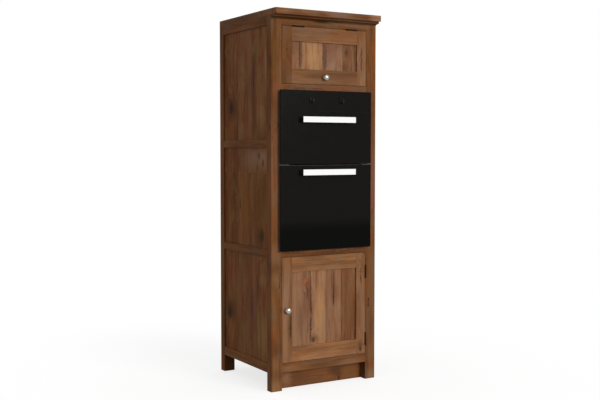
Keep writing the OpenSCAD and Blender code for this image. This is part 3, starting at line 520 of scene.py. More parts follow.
        # A line wanders 24 mm with the bands and 16 mm with its splinters, 20 mm on average
        drift = coat.add("Math", {0: sway, 1: 0.024, 2: across}, operation="MULTIPLY_ADD")
        drift = coat.add("Math", {0: jag, 1: 0.016, 2: drift}, operation="MULTIPLY_ADD")
        broken = coat.add("MapRange", {0: rag, 1: 0.36, 2: 0.56, 3: 0.3, 4: 1.0})
        mask: Any = 0.0
        for crack in self.cracks:
            half = (crack.high - crack.low) / 2 * MM
            shown = broken
            for value, middle, near, far in (
                (drift, crack.across * MM + 0.02, crack.width * 0.2 * MM, crack.width * MM),
                (height, (crack.high + crack.low) / 2 * MM, half * 0.75, half),
            ):
                away = coat.add("Math", {0: value, 1: middle}, operation="SUBTRACT")
                away = coat.add("Math", {0: away}, operation="ABSOLUTE")
                within = coat.add("MapRange", {0: away, 1: near, 2: far, 3: 1.0, 4: 0.0})
                shown = coat.add("Math", {0: shown, 1: within}, operation="MULTIPLY")
            mask = coat.add("Math", {0: mask, 1: shown}, operation="MAXIMUM")
        return mask


@dataclass(frozen=True)
class BlackGlass(Finish):
    """Toughened glass enamelled black on its back: a deep even black with a faint gloss.

    Below a given height its colour turns a shade darker towards the bottom.
    """

    # The darker colour towards the bottom, and the heights between which the glass darkens
    low_dark: str = "#0a0a09"
    low_dark_from: float = 0.0
    low_dark_to: float = 0.0

    def dress(self, coat: Coat, place: Socket) -> None:
        """Sets the glass and a trace of wiped smears, 60 mm wide, in its gloss.

        Args:
            coat: the material's nodes.
            place: the object coordinate.
        """
        super().dress(coat, place)
        smear = coat.add("TexNoise", {0: place, "Scale": 16.0, "Detail": 3.0})
        rough = coat.add("MapRange", {0: smear, 1: 0.35, 2: 0.7, 3: self.roughness,
                                      4: self.roughness + 0.05})
        coat.shade({"Roughness": rough, "Specular IOR Level": 0.03})
        # Darker towards the bottom, between the two heights
        if self.low_dark_from > self.low_dark_to:
            height = coat.add("SeparateXYZ", {0: place}, 2)
            span = (self.low_dark_from * MM, self.low_dark_to * MM)
            coat.shade({"Base Color": coat.lay(self.colour, self.low_dark, height, 1.0, span)})


@dataclass(frozen=True)
class Metal(Finish):
    """Bare or plated metal with a fine scratch pattern in its gloss.

    The scratch spacing is given in millimetres; a tarnish share lays a darker film in
    the hollows of a cloudy noise.
    """

    scratch_mm: float = 1.2
    scratches: float = 0.06
    tarnish: str = "#3a332b"
    tarnished: float = 0.0

    def dress(self, coat: Coat, place: Socket) -> None:
        """Sets the metal with its drawn scratches and clouds of tarnish, 18 mm wide.

        Args:
            coat: the material's nodes.
            place: the object coordinate.
        """
        super().dress(coat, place)
        rate = 1.0 / (self.scratch_mm * MM)
        drawn = coat.add("Mapping", {0: place, "Scale": (rate * 0.04, rate, rate)})
        lines = coat.add("TexNoise", {0: drawn, "Scale": 1.0, "Detail": 3.0})
        rough = coat.add("MapRange", {0: lines, 1: 0.3, 2: 0.7,
                                      3: max(0.02, self.roughness - self.scratches),
                                      4: self.roughness + self.scratches})
        coat.shade({"Metallic": 1.0, "Roughness": rough})
        if self.tarnished > 0:
            cloud = coat.add("TexNoise", {0: place, "Scale": 55.0, "Detail": 5.0, "Roughness": 0.65})
            film = coat.lay(self.colour, self.tarnish, cloud, self.tarnished, (0.42, 0.66))
            coat.shade({"Base Color": film})


@dataclass(frozen=True)
class Galvanised(Finish):
    """Hot-dip galvanised sheet steel: grey crystals of zinc 12 mm across."""

    crystal: str = "#7f8285"

    def dress(self, coat: Coat, place: Socket) -> None:
        """Sets the zinc spangle.

        Args:
            coat: the material's nodes.
            place: the object coordinate.
        """
        super().dress(coat, place)
        spangle = coat.add("TexVoronoi", {"Vector": place, "Scale": 80.0}, "Color")
        shade = coat.add("SeparateColor", {0: spangle})
        rough = coat.add("MapRange", {0: shade, 3: self.roughness - 0.08, 4: self.roughness + 0.1})
        coat.shade({"Base Color": coat.lay(self.colour, self.crystal, shade, 0.6),
                    "Metallic": 0.85, "Roughness": rough})


@dataclass(frozen=True)
class Enamel(Finish):
    """Vitreous enamel fired on sheet steel: glossy dark grey-blue with pale specks."""

    speck: str = "#8f9299"

    def dress(self, coat: Coat, place: Socket) -> None:
        """Sets the enamel, its 1.5 mm specks and a slight orange-peel of the fired coat.

        Args:
            coat: the material's nodes.
            place: the object coordinate.
        """
        super().dress(coat, place)
        dots = coat.add("TexVoronoi", {"Vector": place, "Scale": 240.0})
        mask = coat.add("MapRange", {0: dots, 1: 0.14, 2: 0.2, 3: 1.0, 4: 0.0})
        peel = coat.add("TexNoise", {0: place, "Scale": 260.0, "Detail": 2.0})
        bump = coat.add("Bump", {"Strength": 0.12, "Distance": 0.0003, "Height": peel})
        coat.shade({"Base Color": coat.lay(self.colour, self.speck, mask, 0.55), "Normal": bump})


@dataclass(frozen=True)
class Moulded(Finish):
    """Moulded or painted coat with a fine grain, such as ABS, powder paint or rubber."""

    grain_mm: float = 0.9
    depth: float = 0.15
    sheen: str = "#2c2b29"
    gloss: float = 0.3

    def dress(self, coat: Coat, place: Socket) -> None:
        """Sets the coat with its grain and lighter patches, 45 mm wide, that are partly wear and partly
        painted sheen.

        Args:
            coat: the material's nodes.
            place: the object coordinate.
        """
        super().dress(coat, place)
        fine = coat.add("TexNoise", {0: place, "Scale": 1000.0 / self.grain_mm, "Detail": 2.0})
        bloom = coat.add("TexNoise", {0: place, "Scale": 22.0, "Detail": 4.0})
        bump = coat.add("Bump", {"Strength": self.depth, "Distance": 0.0003, "Height": fine})
        coat.shade({"Base Color": coat.lay(self.colour, self.sheen, bloom, 0.35, (0.5, 0.75)),
                    "Specular IOR Level": self.gloss, "Normal": bump})


@dataclass(frozen=True)
class ClearGlass(Finish):
    """Clear or tinted glass."""

    clearness: float = 0.8

    def dress(self, coat: Coat, place: Socket) -> None:
        """Sets the glass with a faint ripple, 90 mm wide.

        Args:
            coat: the material's nodes.
            place: the object coordinate.
        """
        super().dress(coat, place)
        ripple = coat.add("TexNoise", {0: place, "Scale": 11.0, "Detail": 1.0})
        bump = coat.add("Bump", {"Strength": 0.05, "Distance": 0.001, "Height": ripple})
        coat.shade({"Transmission Weight": self.clearness, "IOR": 1.5, "Normal": bump})


@dataclass(frozen=True)
class Wool(Finish):
    """Mineral wool batt: matted yellow fibres in clumps."""

    hollow: str = "#8d7a3c"

    def dress(self, coat: Coat, place: Socket) -> None:
        """Sets the fibre clumps, 8 mm across, and the fuzz on them.

        Args:
            coat: the material's nodes.
            place: the object coordinate.
        """
        super().dress(coat, place)
        clump = coat.add("TexNoise", {0: place, "Scale": 120.0, "Detail": 8.0, "Roughness": 0.75})
        bump = coat.add("Bump", {"Strength": 0.9, "Distance": 0.004, "Height": clump})
        coat.shade({"Base Color": coat.lay(self.colour, self.hollow, clump, 0.8), "Normal": bump})


# Faces of the boards, in millimetres: the plinth is set back and the top reaches forward
PLINTH = -242.0
TOP_FACE = -344.0
PANEL_FACE = -282.0
SIDE_FACE = -337.0

CARCASS = Timber(
    "waxed_pine_carcass", "#774b28", 0.58, light="#8f5f37", deep="#4c2a15", ruddy="#844726",
    dusty="#705840", mottle=0.62,
    knots=(
        Knot(127, 12, 14, 0.8, depth=PLINTH),
    ),
    cracks=(
        Crack(-291, 565, 659, 5.0), Crack(-288, 430, 470, 7.0), Crack(300, 420, 480, 6.0),
    ),
    stains_and_painted_light=(
        StainAndPaintedLight(101, 63, 60, 50, "#3a2210", 0.8, depth=PLINTH),
        StainAndPaintedLight(53, 30, 45, 16, "#8a4f22", 0.8, depth=PLINTH),
        StainAndPaintedLight(205, 45, 70, 60, "#7a4c22", depth=PLINTH),
        StainAndPaintedLight(-140, 50, 130, 50, "#64391f", depth=PLINTH), StainAndPaintedLight(60, 330, 340, 480, "#80583f", 0.45),
        StainAndPaintedLight(-322, 1870, 24, 210, "#68461f"), StainAndPaintedLight(-305, 1660, 40, 60, "#8a5238"),
        StainAndPaintedLight(325, 1860, 26, 200, "#8c5321"), StainAndPaintedLight(320, 1150, 40, 230, "#805645"),
        StainAndPaintedLight(330, 640, 26, 130, "#6c563c"), StainAndPaintedLight(322, 300, 30, 110, "#5e4336"),
        # The dark patch 2046 mm up, just under the cove, is painted shade
        StainAndPaintedLight(-330, 620, 20, 90, "#5c4425"), StainAndPaintedLight(-20, 2046, 70, 10, "#2a170e", 0.9),
        # The two light patches that follow are painted light: one lifts the shade under the cornice on the
        # top rail, one the shade on the left post beside the oven's front
        StainAndPaintedLight(200, 2050, 170, 24, "#8f6a4c", 0.9), StainAndPaintedLight(-318, 1260, 40, 330, "#8a5c40", 0.7),
        StainAndPaintedLight(0, 1684, 300, 22, "#64493a"), StainAndPaintedLight(215, 1680, 90, 30, "#6b4c3a", 0.8),
        # The light patch 765 mm up on the left post is painted light that lifts the shade where the post
        # meets the oven's lower corner
        StainAndPaintedLight(-312, 765, 40, 80, "#a37654", 0.42), StainAndPaintedLight(-312, 20, 40, 60, "#a5774f"),
        StainAndPaintedLight(318, 10, 40, 60, "#a07c5c", 0.45), StainAndPaintedLight(-225, 50, 44, 60, "#93694c", 0.8, depth=PLINTH),
        StainAndPaintedLight(180, 122, 110, 24, "#92684a", 0.7), StainAndPaintedLight(-20, 116, 100, 24, "#623f26", 0.7),
        StainAndPaintedLight(-312, 150, 36, 60, "#926b4c", 0.5), StainAndPaintedLight(-312, 628, 36, 50, "#956947", 0.5),
        StainAndPaintedLight(312, 161, 36, 60, "#786144", 0.5), StainAndPaintedLight(-220, 122, 60, 24, "#946b48", 0.5),
    ),
)
TOP = Timber(
    "waxed_pine_top", "#7c5333", 0.55, light="#996d48", deep="#55311b", ruddy="#7c4029", dusty="#75604b",
    mottle=0.3, face=TOP_FACE,
    stains_and_painted_light=(
        StainAndPaintedLight(-40, 2078, 40, 10, "#6e3a26", 0.8), StainAndPaintedLight(-300, 2086, 60, 14, "#9c6a44"),
        # The dark patch along the top edge, 2098 mm up, is painted shade on the eased front edge
        StainAndPaintedLight(-190, 2074, 90, 12, "#6a4530", 0.7), StainAndPaintedLight(180, 2098, 130, 9, "#5f4534", 0.7),
        StainAndPaintedLight(60, 2086, 90, 22, "#86695a", 0.8), StainAndPaintedLight(318, 2084, 60, 40, "#ab7c5e", 1.0),
        StainAndPaintedLight(-345, 2084, 330, 60, "#5f3c24", 0.9, depth=100),
    ),
)
LEAF = Timber(
    "waxed_pine_leaf_frame", "#8d613e", 0.56, light="#a57857", deep="#603a24", streaks=0.35,
    ruddy="#8a5530", dusty="#7d644c", mottle=0.4,
    knots=(
        Knot(243, 180, 14, 0.7),
    ),
    cracks=(
        Crack(247, 560, 660, 4.0), Crack(245, 1781, 1923, 5.0), Crack(-224, 290, 425, 7.0),
        Crack(-212, 250, 330, 4.0),
    ),
    stains_and_painted_light=(
        StainAndPaintedLight(-226, 1969, 25, 50, "#9a5f30"), StainAndPaintedLight(-245, 1860, 40, 160, "#955c2c", 0.7),
        StainAndPaintedLight(-60, 1745, 90, 18, "#5a3018", 0.5), StainAndPaintedLight(-222, 345, 26, 100, "#4d3526"),
        StainAndPaintedLight(-130, 1985, 130, 34, "#876850"), StainAndPaintedLight(140, 1985, 130, 34, "#8c572d"),
        StainAndPaintedLight(245, 1850, 22, 150, "#7a5a4a"), StainAndPaintedLight(110, 1745, 110, 24, "#7d4c34"),
        StainAndPaintedLight(0, 690, 220, 20, "#94704f", 0.5), StainAndPaintedLight(-255, 520, 40, 140, "#96745c"),
        StainAndPaintedLight(243, 200, 22, 40, "#553622", 0.7), StainAndPaintedLight(0, 205, 200, 30, "#8c5f3c", 0.5),
        StainAndPaintedLight(247, 460, 24, 190, "#846558", 0.4),
    ),
)
FLAP_PANEL = Timber(
    "waxed_pine_flap_panel", "#90664b", 0.56, light="#ae835d", deep="#664128", streaks=0.4,
    plank_edges=(-228, -156, 1, 122, 228), plank_colours=("#8f654c", "#aa7b58", "#a0775e", "#7b5136"),
    face=PANEL_FACE,
    knots=(
        Knot(147, 1885, 13, 0.55),
    ),
    cracks=(
        Crack(-160, 1785, 1940, 7.0), Crack(-148, 1800, 1940, 4.0), Crack(-6, 1785, 1935, 5.0),
        Crack(10, 1785, 1935, 4.0),
    ),
    stains_and_painted_light=(
        StainAndPaintedLight(-70, 1850, 60, 100, "#b58a5c", 0.7), StainAndPaintedLight(150, 1890, 30, 60, "#5d3b2b", 0.7),
        StainAndPaintedLight(-152, 1870, 18, 110, "#5a3b2c"), StainAndPaintedLight(2, 1870, 16, 130, "#54382a", 0.7),
        StainAndPaintedLight(140, 1800, 40, 30, "#5d3d2c"),
    ),
)
DOOR_PANEL = Timber(
    "waxed_pine_door_panel", "#8d6348", 0.56, light="#ab7f5a", deep="#643f27", streaks=0.4,
    plank_edges=(-228, -87, 14, 116, 228), plank_colours=("#936a4f", "#a47756", "#916549", "#63361a"),
    ruddy="#8a5036", dusty="#86705c", face=PANEL_FACE,
    knots=(
        Knot(-72, 263, 18, 0.55), Knot(-120, 579, 12, 0.3),
    ),
    cracks=(
        Crack(-90, 270, 400, 6.0), Crack(-88, 400, 640, 8.0), Crack(-112, 500, 600, 5.0),
        Crack(64, 440, 650, 8.0),
    ),
    stains_and_painted_light=(
        StainAndPaintedLight(72, 520, 34, 80, "#5a3a2a", 0.55), StainAndPaintedLight(-30, 430, 32, 170, "#b98c5a"),
        StainAndPaintedLight(-118, 600, 26, 50, "#9a5c34"), StainAndPaintedLight(-70, 270, 36, 26, "#553a28", 0.7),
        StainAndPaintedLight(-98, 520, 16, 110, "#54382a"), StainAndPaintedLight(-150, 380, 30, 110, "#6a4c3c", 0.5),
        StainAndPaintedLight(175, 450, 60, 260, "#74492a"),
    ),
)
SIDE_PANEL = Timber(
    "waxed_pine_side_panel", "#7a4d2b", 0.6, light="#916340", deep="#542f15", plank_axis=GrainAxis.Y,
    plank_edges=(-280, -108, 122, 310), plank_colours=("#875b34", "#815332", "#754521"),
    level_edges=(760, 1204, 1370), ruddy="#7c3f24", dusty="#7f6036", mottle=0.75, face=SIDE_FACE,
    knots=(
        Knot(210, 1579, 40, 0.8), Knot(236, 365, 40, 0.8), Knot(-169, 858, 42, 0.8),
        Knot(-135, 1302, 22, 0.7), Knot(-183, 1263, 24, 0.7),
    ),
    cracks=(
        Crack(102, 990, 1060, 6.0), Crack(-72, 1640, 1880, 8.0), Crack(-50, 380, 560, 6.0),
    ),
    stains_and_painted_light=(
        StainAndPaintedLight(205, 1585, 85, 75, "#402411", 0.85), StainAndPaintedLight(232, 385, 85, 75, "#402411", 0.85),
        StainAndPaintedLight(215, 1440, 70, 70, "#8a5526", 0.5), StainAndPaintedLight(215, 260, 70, 90, "#8a5526", 0.5),
        StainAndPaintedLight(-190, 1290, 110, 70, "#966f57", 0.9), StainAndPaintedLight(-50, 1290, 110, 70, "#8f6c56", 0.8),
        StainAndPaintedLight(-160, 1520, 60, 120, "#9a7048", 0.8), StainAndPaintedLight(-160, 280, 60, 150, "#957040", 0.8),
        StainAndPaintedLight(-72, 1700, 30, 170, "#5f3426", 0.7), StainAndPaintedLight(-60, 420, 50, 130, "#6b4036"),
        StainAndPaintedLight(-150, 850, 70, 60, "#4a2712", 0.8), StainAndPaintedLight(-150, 1020, 100, 190, "#6c4517", 0.8),
        StainAndPaintedLight(20, 1020, 90, 190, "#80521d", 0.8), StainAndPaintedLight(-230, 330, 26, 170, "#a07a58", 0.7),
        StainAndPaintedLight(-120, 560, 26, 120, "#54311c", 0.7), StainAndPaintedLight(-190, 600, 40, 60, "#9a7350"),
        StainAndPaintedLight(-225, 1820, 30, 110, "#9c7450", 0.7), StainAndPaintedLight(60, 1760, 34, 150, "#976b48"),
    ),
)
BOARD = Timber("oiled_pine_board", "#9a744c", 0.6, light="#b18a60", deep="#7a5533", streaks=0.3)
BLACK_GLASS = BlackGlass("black_enamelled_glass", "#161513", 0.16)
# The main door's glass is darker towards the bottom, from 960 mm down to 880 mm
DARKER_LOW_GLASS = BlackGlass("black_glass_darker_low", "#161513", 0.16, low_dark="#090908", low_dark_from=960,
                          low_dark_to=880)
INNER_GLASS = ClearGlass("tinted_inner_glass", "#5c6462", 0.03, clearness=0.7)
LAMP_GLASS = ClearGlass("pressed_lamp_glass", "#f2ecd8", 0.08, clearness=0.6)
MIRROR_BAR = Metal("polished_chrome_bar", "#fbfbfb", 0.05, scratches=0.02)
NICKEL = Metal("polished_nickel_knob", "#a89f95", 0.14, scratches=0.04)
# Aged steel for hinges and fittings, made darker than plain aged steel as painted shade so the knuckles
# read dark in their gaps
AGED_STEEL_AND_SHADE = Metal("aged_steel_hinge_and_shade", "#2b2018", 0.5, scratches=0.12, tarnish="#140f0b",
                   tarnished=0.7)
ZINC_SCREW = Metal("zinc_plated_screw", "#b5b7ba", 0.3, scratches=0.08)
CHROME_WIRE = Metal("chromed_wire", "#d5d6d8", 0.14, scratches=0.05)
HEATER = Metal("oxidised_heater_tube", "#5c5652", 0.45, scratches=0.1, tarnish="#2c2826", tarnished=0.6)
BRIGHT_STEEL = Metal("rolled_bright_steel", "#b3b4b6", 0.32, scratches=0.1)
ZINC_SHEET = Galvanised("galvanised_sheet", "#9da0a3", 0.4)
ENAMEL = Enamel("vitreous_enamel", "#23252b", 0.18)
GREY_SHEET = Moulded("grey_powder_paint", "#5b5655", 0.45, sheen="#6a6564")
GREY_CAP = Moulded("grey_moulded_cap", "#5a5856", 0.5, sheen="#6a6866")
BLACK_FRAME = Moulded("black_coated_frame", "#141312", 0.4)
# A matt black for the strip behind the vent, painted shade in the slot between the doors
SHADE_SHEET_BLACK = Moulded("matt_black_shade_sheet", "#0c0b0a", 0.75, sheen="#11100f", gloss=0.05)
BLACK_ABS = Moulded("black_moulded_abs", "#161514", 0.38)
KNOB_ABS = Moulded("black_knob_abs", "#050504", 0.3, depth=0.08, sheen="#080807", gloss=0.12)
# A black for the strip behind the seam under the controls, painted shade in that seam
SEAM_SHADE_ABS = Moulded("black_abs_seam_shade", "#100f0e", 0.34, depth=0.08, sheen="#171615", gloss=0.1)
RUBBER = Moulded("silicone_rubber_seal", "#191817", 0.65, grain_mm=1.6)
WOOL = Wool("mineral_wool", "#c4b06a", 0.95)


# ------------------------------------------------------------------------------ shaping


# How light or dark single boards are, from -1 to 1, for each node's boards by place; a board
# that isn't listed gets a small chance value
TONES_AND_LIGHT: dict[str, tuple[float, ...]] = {
    "front_post_left": (0.0,),
    "front_post_right": (0.0,),
    # The top rail's 0.5 is painted light that lifts the top board's shadow on it
    "front_rails": (0.15, 0.0, 0.0, 0.5),
    "plinth_board": (0.0,),
    "top_board": (0.0,),
    # The cove's dark level is painted shade under the top board
    "cove_moulding": (-0.45,),
    "side_panels": (0.0,) * 6,
    "flap_stiles": (-0.75, 0.1),
    "flap_rails": (-0.3, 0.0),
    "flap_panel": (0.0,),
    "door_stiles": (0.0, -0.1),
    "door_rails": (0.48, 0.3),
    "door_panel": (0.0,),
}


def loose_boards(bm: BMesh) -> list[list[bmesh.types.BMVert]]:
    """Finds the boards of a node that hang together, from left to right and front to back.

    Args:
        bm: the boards.

    Returns:
        The points of each board.
    """
    seen: set[bmesh.types.BMVert] = set()
    boards: list[list[bmesh.types.BMVert]] = []
    for start in bm.verts:
        if start in seen:
            continue
        seen.add(start)
        board, edge = [], [start]
        while edge:
            vert = edge.pop()
            board.append(vert)
            others = {link.other_vert(vert) for link in vert.link_edges} - seen
            seen |= others
            edge.extend(others)
        boards.append(board)
    boards.sort(key=lambda b: tuple(round(sum(v.co[i] for v in b) / len(b), 3) for i in range(3)))
    return boards


def grain_layers(bm: BMesh, seed: str, axis: GrainAxis) -> None:
    """Writes the grain coordinate and the tone of each loose board; the listed tones of the cove and the
    top front rail are painted shade and painted light.

    Args:
        bm: the boards.
        seed: text that fixes the boards' chance values.
        axis: the direction of the grain, or the longest side of each board.
    """
    grain = bm.verts.layers.float_vector.new("grain")
    tone_and_light = bm.verts.layers.float.new("tone_and_light")
    tones = TONES_AND_LIGHT.get(seed, ())
    for index, board in enumerate(loose_boards(bm)):
        chance = random.Random(f"{seed}{index}")
        size = [max(v.co[i] for v in board) - min(v.co[i] for v in board) for i in range(3)]
        along = axis.value if axis is not GrainAxis.LONGEST else size.index(max(size))
        rest = sorted((i for i in range(3) if i != along), key=lambda i: -size[i])
        offset = Vector([chance.uniform(0, 9) for _ in range(3)])
        level = tones[index] if index < len(tones) else chance.uniform(-0.2, 0.2)
        for vert in board:
            vert[grain] = Vector((vert.co[along], vert.co[rest[0]], vert.co[rest[1]])) + offset
            vert[tone_and_light] = level


def turned(profile: list[tuple[float, float]], centre: Vector, steps: int = 48) -> BMesh:
    """Turns a profile into a closed solid of revolution that points to the front.

    Args:
        profile: radius and height pairs in millimetres, from one pole to the other.
        centre: the foot of the axis, in metres.
        steps: sides of the turned shape.

    Returns:
        The turned shape in place.
    """
    bm = bmesh.new()
    verts = [bm.verts.new((r * MM, 0, h * MM)) for r, h in profile]
    edges = [bm.edges.new(pair) for pair in zip(verts, verts[1:])]
    bmesh.ops.spin(bm, geom=verts + edges, cent=(0, 0, 0), axis=(0, 0, 1), dvec=(0, 0, 0),
                   angle=2 * math.pi, steps=steps, use_merge=True)
    bmesh.ops.remove_doubles(bm, verts=bm.verts, dist=POLE_WELD)
    bmesh.ops.recalc_face_normals(bm, faces=bm.faces)
    turn = Vector((0, 0, 1)).rotation_difference(Vector((0, -1, 0))).to_matrix().to_4x4()
    bmesh.ops.transform(bm, matrix=Matrix.Translation(centre) @ turn, verts=bm.verts)
    for face in bm.faces:
        face.smooth = True
    for link in bm.edges:
        link.smooth = link.is_manifold and link.calc_face_angle(0) < ROUND
    return bm


def eased_box(low: Vector, high: Vector, ease_mm: float, segments: int = 3) -> BMesh:
    """Makes a box with rounded edges.

    Args:
        low: its lowest corner, in metres.
        high: its highest corner, in metres.
        ease_mm: width of the rounding.
        segments: steps across the rounding.

    Returns:
        The box.
    """
    bm = bmesh.new()
    place = Matrix.Translation((low + high) / 2) @ Matrix.Diagonal((*(high - low), 1))
    bmesh.ops.create_cube(bm, size=1.0, matrix=place)
    bmesh.ops.bevel(bm, geom=bm.edges[:], offset=ease_mm * MM, offset_type="OFFSET",
                    segments=segments, profile=0.5, affect="EDGES", clamp_overlap=True, material=-1)
    return bm


def absorb(bm: BMesh, other: BMesh) -> None:
    """Adds another shape to a shape.

    Args:
        bm: the shape that grows.
        other: the shape that it takes in; it is freed.
    """
    mesh = bpy.data.meshes.new("part")
    other.to_mesh(mesh)
    other.free()
    bm.from_mesh(mesh)
    bpy.data.meshes.remove(mesh)


def behind_front(node: str, depth_mm: float) -> Vector:
    """Gives the middle of a node's box at a depth behind its front, in metres."""
    low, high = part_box(node)
    return Vector(((low.x + high.x) / 2, low.y + depth_mm * MM, (low.z + high.z) / 2))


# ----------------------------------------------------------------------- sub-assemblies


@dataclass
class SubAssembly:
    """A part of the unit, made round the construction nodes of the loaded frame."""

    frame: dict[str, Any]

    def slot_of(self, node: str) -> str:
        """Looks up the record's material slot of a construction node."""
        return next(s["material_slot"] for s in self.frame["record"]["subparts"] if s["node"] == node)

    def finish(self, bm: BMesh, name: str, finish: Finish, node: str,
               replaces: bool = True) -> bpy.types.Object:
        """Turns a bmesh into a piece that rides on the body of a construction node.

        Args:
            bm: the shape, in the model frame in metres; it is freed.
            name: the piece's name.
            finish: its finish.
            node: the construction node whose body it rides on.
            replaces: whether the piece stands for that node.

        Returns:
            The new object.
        """
        mesh = bpy.data.meshes.new(name)
        bm.to_mesh(mesh)
        bm.free()
        piece = bpy.data.objects.new(name, mesh)
        bpy.context.scene.collection.objects.link(piece)
        mesh.materials.append(material_of(finish))
        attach(piece, self.frame["nodes"][node]["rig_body"])
        if replaces:
            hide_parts(node)
        LOG.info("%s: %d faces, %s", name, len(mesh.polygons), finish.name)
        return piece

    def dress_nodes(self, finishes: dict[str, Finish]) -> None:
        """Gives construction nodes that stay in view their finishes.

        Args:
            finishes: a finish for each node name.
        """
        for node, finish in finishes.items():
            data = self.frame["nodes"][node].data
            data.materials.clear()
            data.materials.append(material_of(finish))
            LOG.info("%s stays, %s", node, finish.name)

    def eased(self, node: str, ease_mm: float, segments: int = 2) -> BMesh:
        """Copies a construction node and takes the sharpness off its outer edges.

        Args:
            node: the node to copy.
            ease_mm: width of the easing.
            segments: steps across the easing.

        Returns:
            The eased shape.
        """
        bm = bmesh.new()
        bm.from_mesh(self.frame["nodes"][node].data)
        bmesh.ops.remove_doubles(bm, verts=bm.verts, dist=WELD)
        bmesh.ops.dissolve_limit(bm, angle_limit=FLAT, verts=bm.verts, edges=bm.edges)
        sharp = [e for e in bm.edges if e.is_manifold and e.is_convex
                 and e.calc_face_angle(0) > SHARP and e.calc_length() > SHORTEST_EDGE]
        bmesh.ops.bevel(bm, geom=sharp, offset=ease_mm * MM, offset_type="OFFSET",
                        segments=segments, profile=0.5, affect="EDGES", clamp_overlap=True,
                        material=-1)
        return bm

    def plane(self, node: str, finish: Timber, ease_mm: float, axis: GrainAxis) -> None:
        """Makes the timber boards of a node.

        Args:
            node: the node that they replace.
            finish: their finish.
            ease_mm: width of the easing along their edges.
            axis: the direction of the grain.
        """
        bm = self.eased(node, ease_mm)
        grain_layers(bm, node, axis)
        self.finish(bm, node + "_timber", finish, node)


@dataclass
class Carcass(SubAssembly):
    """Posts, rails, panels, floors and top of the cabinet."""

    ease: float = 1.0
    post_ease: float = 1.2
    back_ease: float = 0.5
    top_ease: float = 1.6
    cove_ease: float = 0.8
    floor_ease: float = 0.6

    def build(self) -> None:
        """Makes every board of the carcass as an eased timber piece."""
        boards = (
            (("front_post_left", "front_post_right", "back_posts"), CARCASS, self.post_ease, GrainAxis.Z),
            (("front_rails", "carcass_rails"), CARCASS, self.ease, GrainAxis.LONGEST),
            (("side_panels",), SIDE_PANEL, self.ease, GrainAxis.Z),
            (("back_panels",), BOARD, self.back_ease, GrainAxis.Z),
            (("top_board",), TOP, self.top_ease, GrainAxis.X),
            (("cove_moulding",), CARCASS, self.cove_ease, GrainAxis.X),
            (("plinth_board",), CARCASS, self.ease, GrainAxis.X),
            (("locker_floor", "oven_deck", "cupboard_floor"), BOARD, self.floor_ease, GrainAxis.X),
            (("floor_cleats",), BOARD, self.floor_ease, GrainAxis.LONGEST),
            (("cupboard_shelf",), BOARD, self.ease, GrainAxis.X),
        )
        for nodes, finish, ease, axis in boards:
            for node in nodes:
                self.plane(node, finish, ease, axis)
        self.dress_nodes({"shelf_pins": ZINC_SCREW, "frame_hinge_leaves": AGED_STEEL_AND_SHADE,
                          "catches_and_guide": ZINC_SCREW})


@dataclass
class Leaf(SubAssembly):
    """A framed and panelled leaf: the locker flap or the cupboard door.

    Its knob is turned from the screw head on the leaf's back, along the stud, to the rose,
    the waisted neck and the ball.
    """

    kind: str
    panel: Timber
    ease: float = 1.0
    knob_out: float = 28.0
    ball_r: float = 17.0
    ball_half: float = 9.5
    screw: tuple[tuple[float, float], ...] = (
        (0, -24.5), (4.7, -24.5), (5, -24.2), (5, -22.3), (4.7, -22), (2, -22), (2, 0))
    rose: tuple[tuple[float, float], ...] = ((10.6, 0), (11, 0.5), (11, 1.6), (10.2, 2.6), (7.6, 3.4))
    neck: tuple[tuple[float, float], ...] = ((6.2, 5.2), (5.8, 7.5), (6.4, 9.6), (8.4, 10.8))

    def build(self) -> None:
        """Makes the leaf's timber, its knob and its fittings."""
        for part, finish, axis in (("stiles", LEAF, GrainAxis.Z), ("rails", LEAF, GrainAxis.X),
                                   ("panel", self.panel, GrainAxis.Z)):
            self.plane(f"{self.kind}_{part}", finish, self.ease, axis)
        self.build_knob()
        self.dress_nodes({f"{self.kind}_fittings": AGED_STEEL_AND_SHADE})

    def build_knob(self) -> None:
        """Turns the knob: a flared rose, a waisted neck and a flattened ball, with its stud."""
        node = f"{self.kind}_knob"
        middle = self.knob_out - self.ball_half
        ball = [(self.ball_r * math.cos(a), middle + self.ball_half * math.sin(a))
                for a in (math.radians(d) for d in range(-50, 90, 10))]
        profile = [*self.screw, *self.rose, *self.neck, *ball, (0, self.knob_out)]
        bm = turned(profile, behind_front(node, self.knob_out))
        self.finish(bm, node + "_turned", NICKEL, node)


@dataclass
class OvenDoor(SubAssembly):
    """Glass, frame and handle of one oven door."""

    kind: str
    glass: BlackGlass
    glass_ease: float = 0.35
    frame_ease: float = 0.5
    bar_ease: float = 1.5
    cap_from: tuple[float, float] = (233.0, 1247.5)

    def build(self) -> None:
        """Makes the door's glass, frame and mirror-bright bar."""
        node = f"{self.kind}_door_"
        glass = self.eased(node + "glass", self.glass_ease, 1)
        self.finish(glass, node + "front_glass", self.glass, node + "glass")
        bar = eased_box(*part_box(node + "handle"), self.bar_ease)
        self.finish(bar, node + "bar", MIRROR_BAR, node + "handle")
        inner = self.eased(node + "frame", self.frame_ease)
        piece = self.finish(inner, node + "inner_frame", BLACK_FRAME, node + "frame")
        if self.kind == "main":
            self.dress_caps(piece)
        self.dress_nodes({node + "inner_glass": INNER_GLASS})

    def dress_caps(self, piece: bpy.types.Object) -> None:
        """Gives the end caps on the main door's frame their own grey.

        Args:
            piece: the frame's piece.
        """
        piece.data.materials.append(material_of(GREY_CAP))
        beyond, above = (value * MM for value in self.cap_from)
        for face in piece.data.polygons:
            if abs(face.center.x) > beyond and face.center.z > above:
                face.material_index = 1


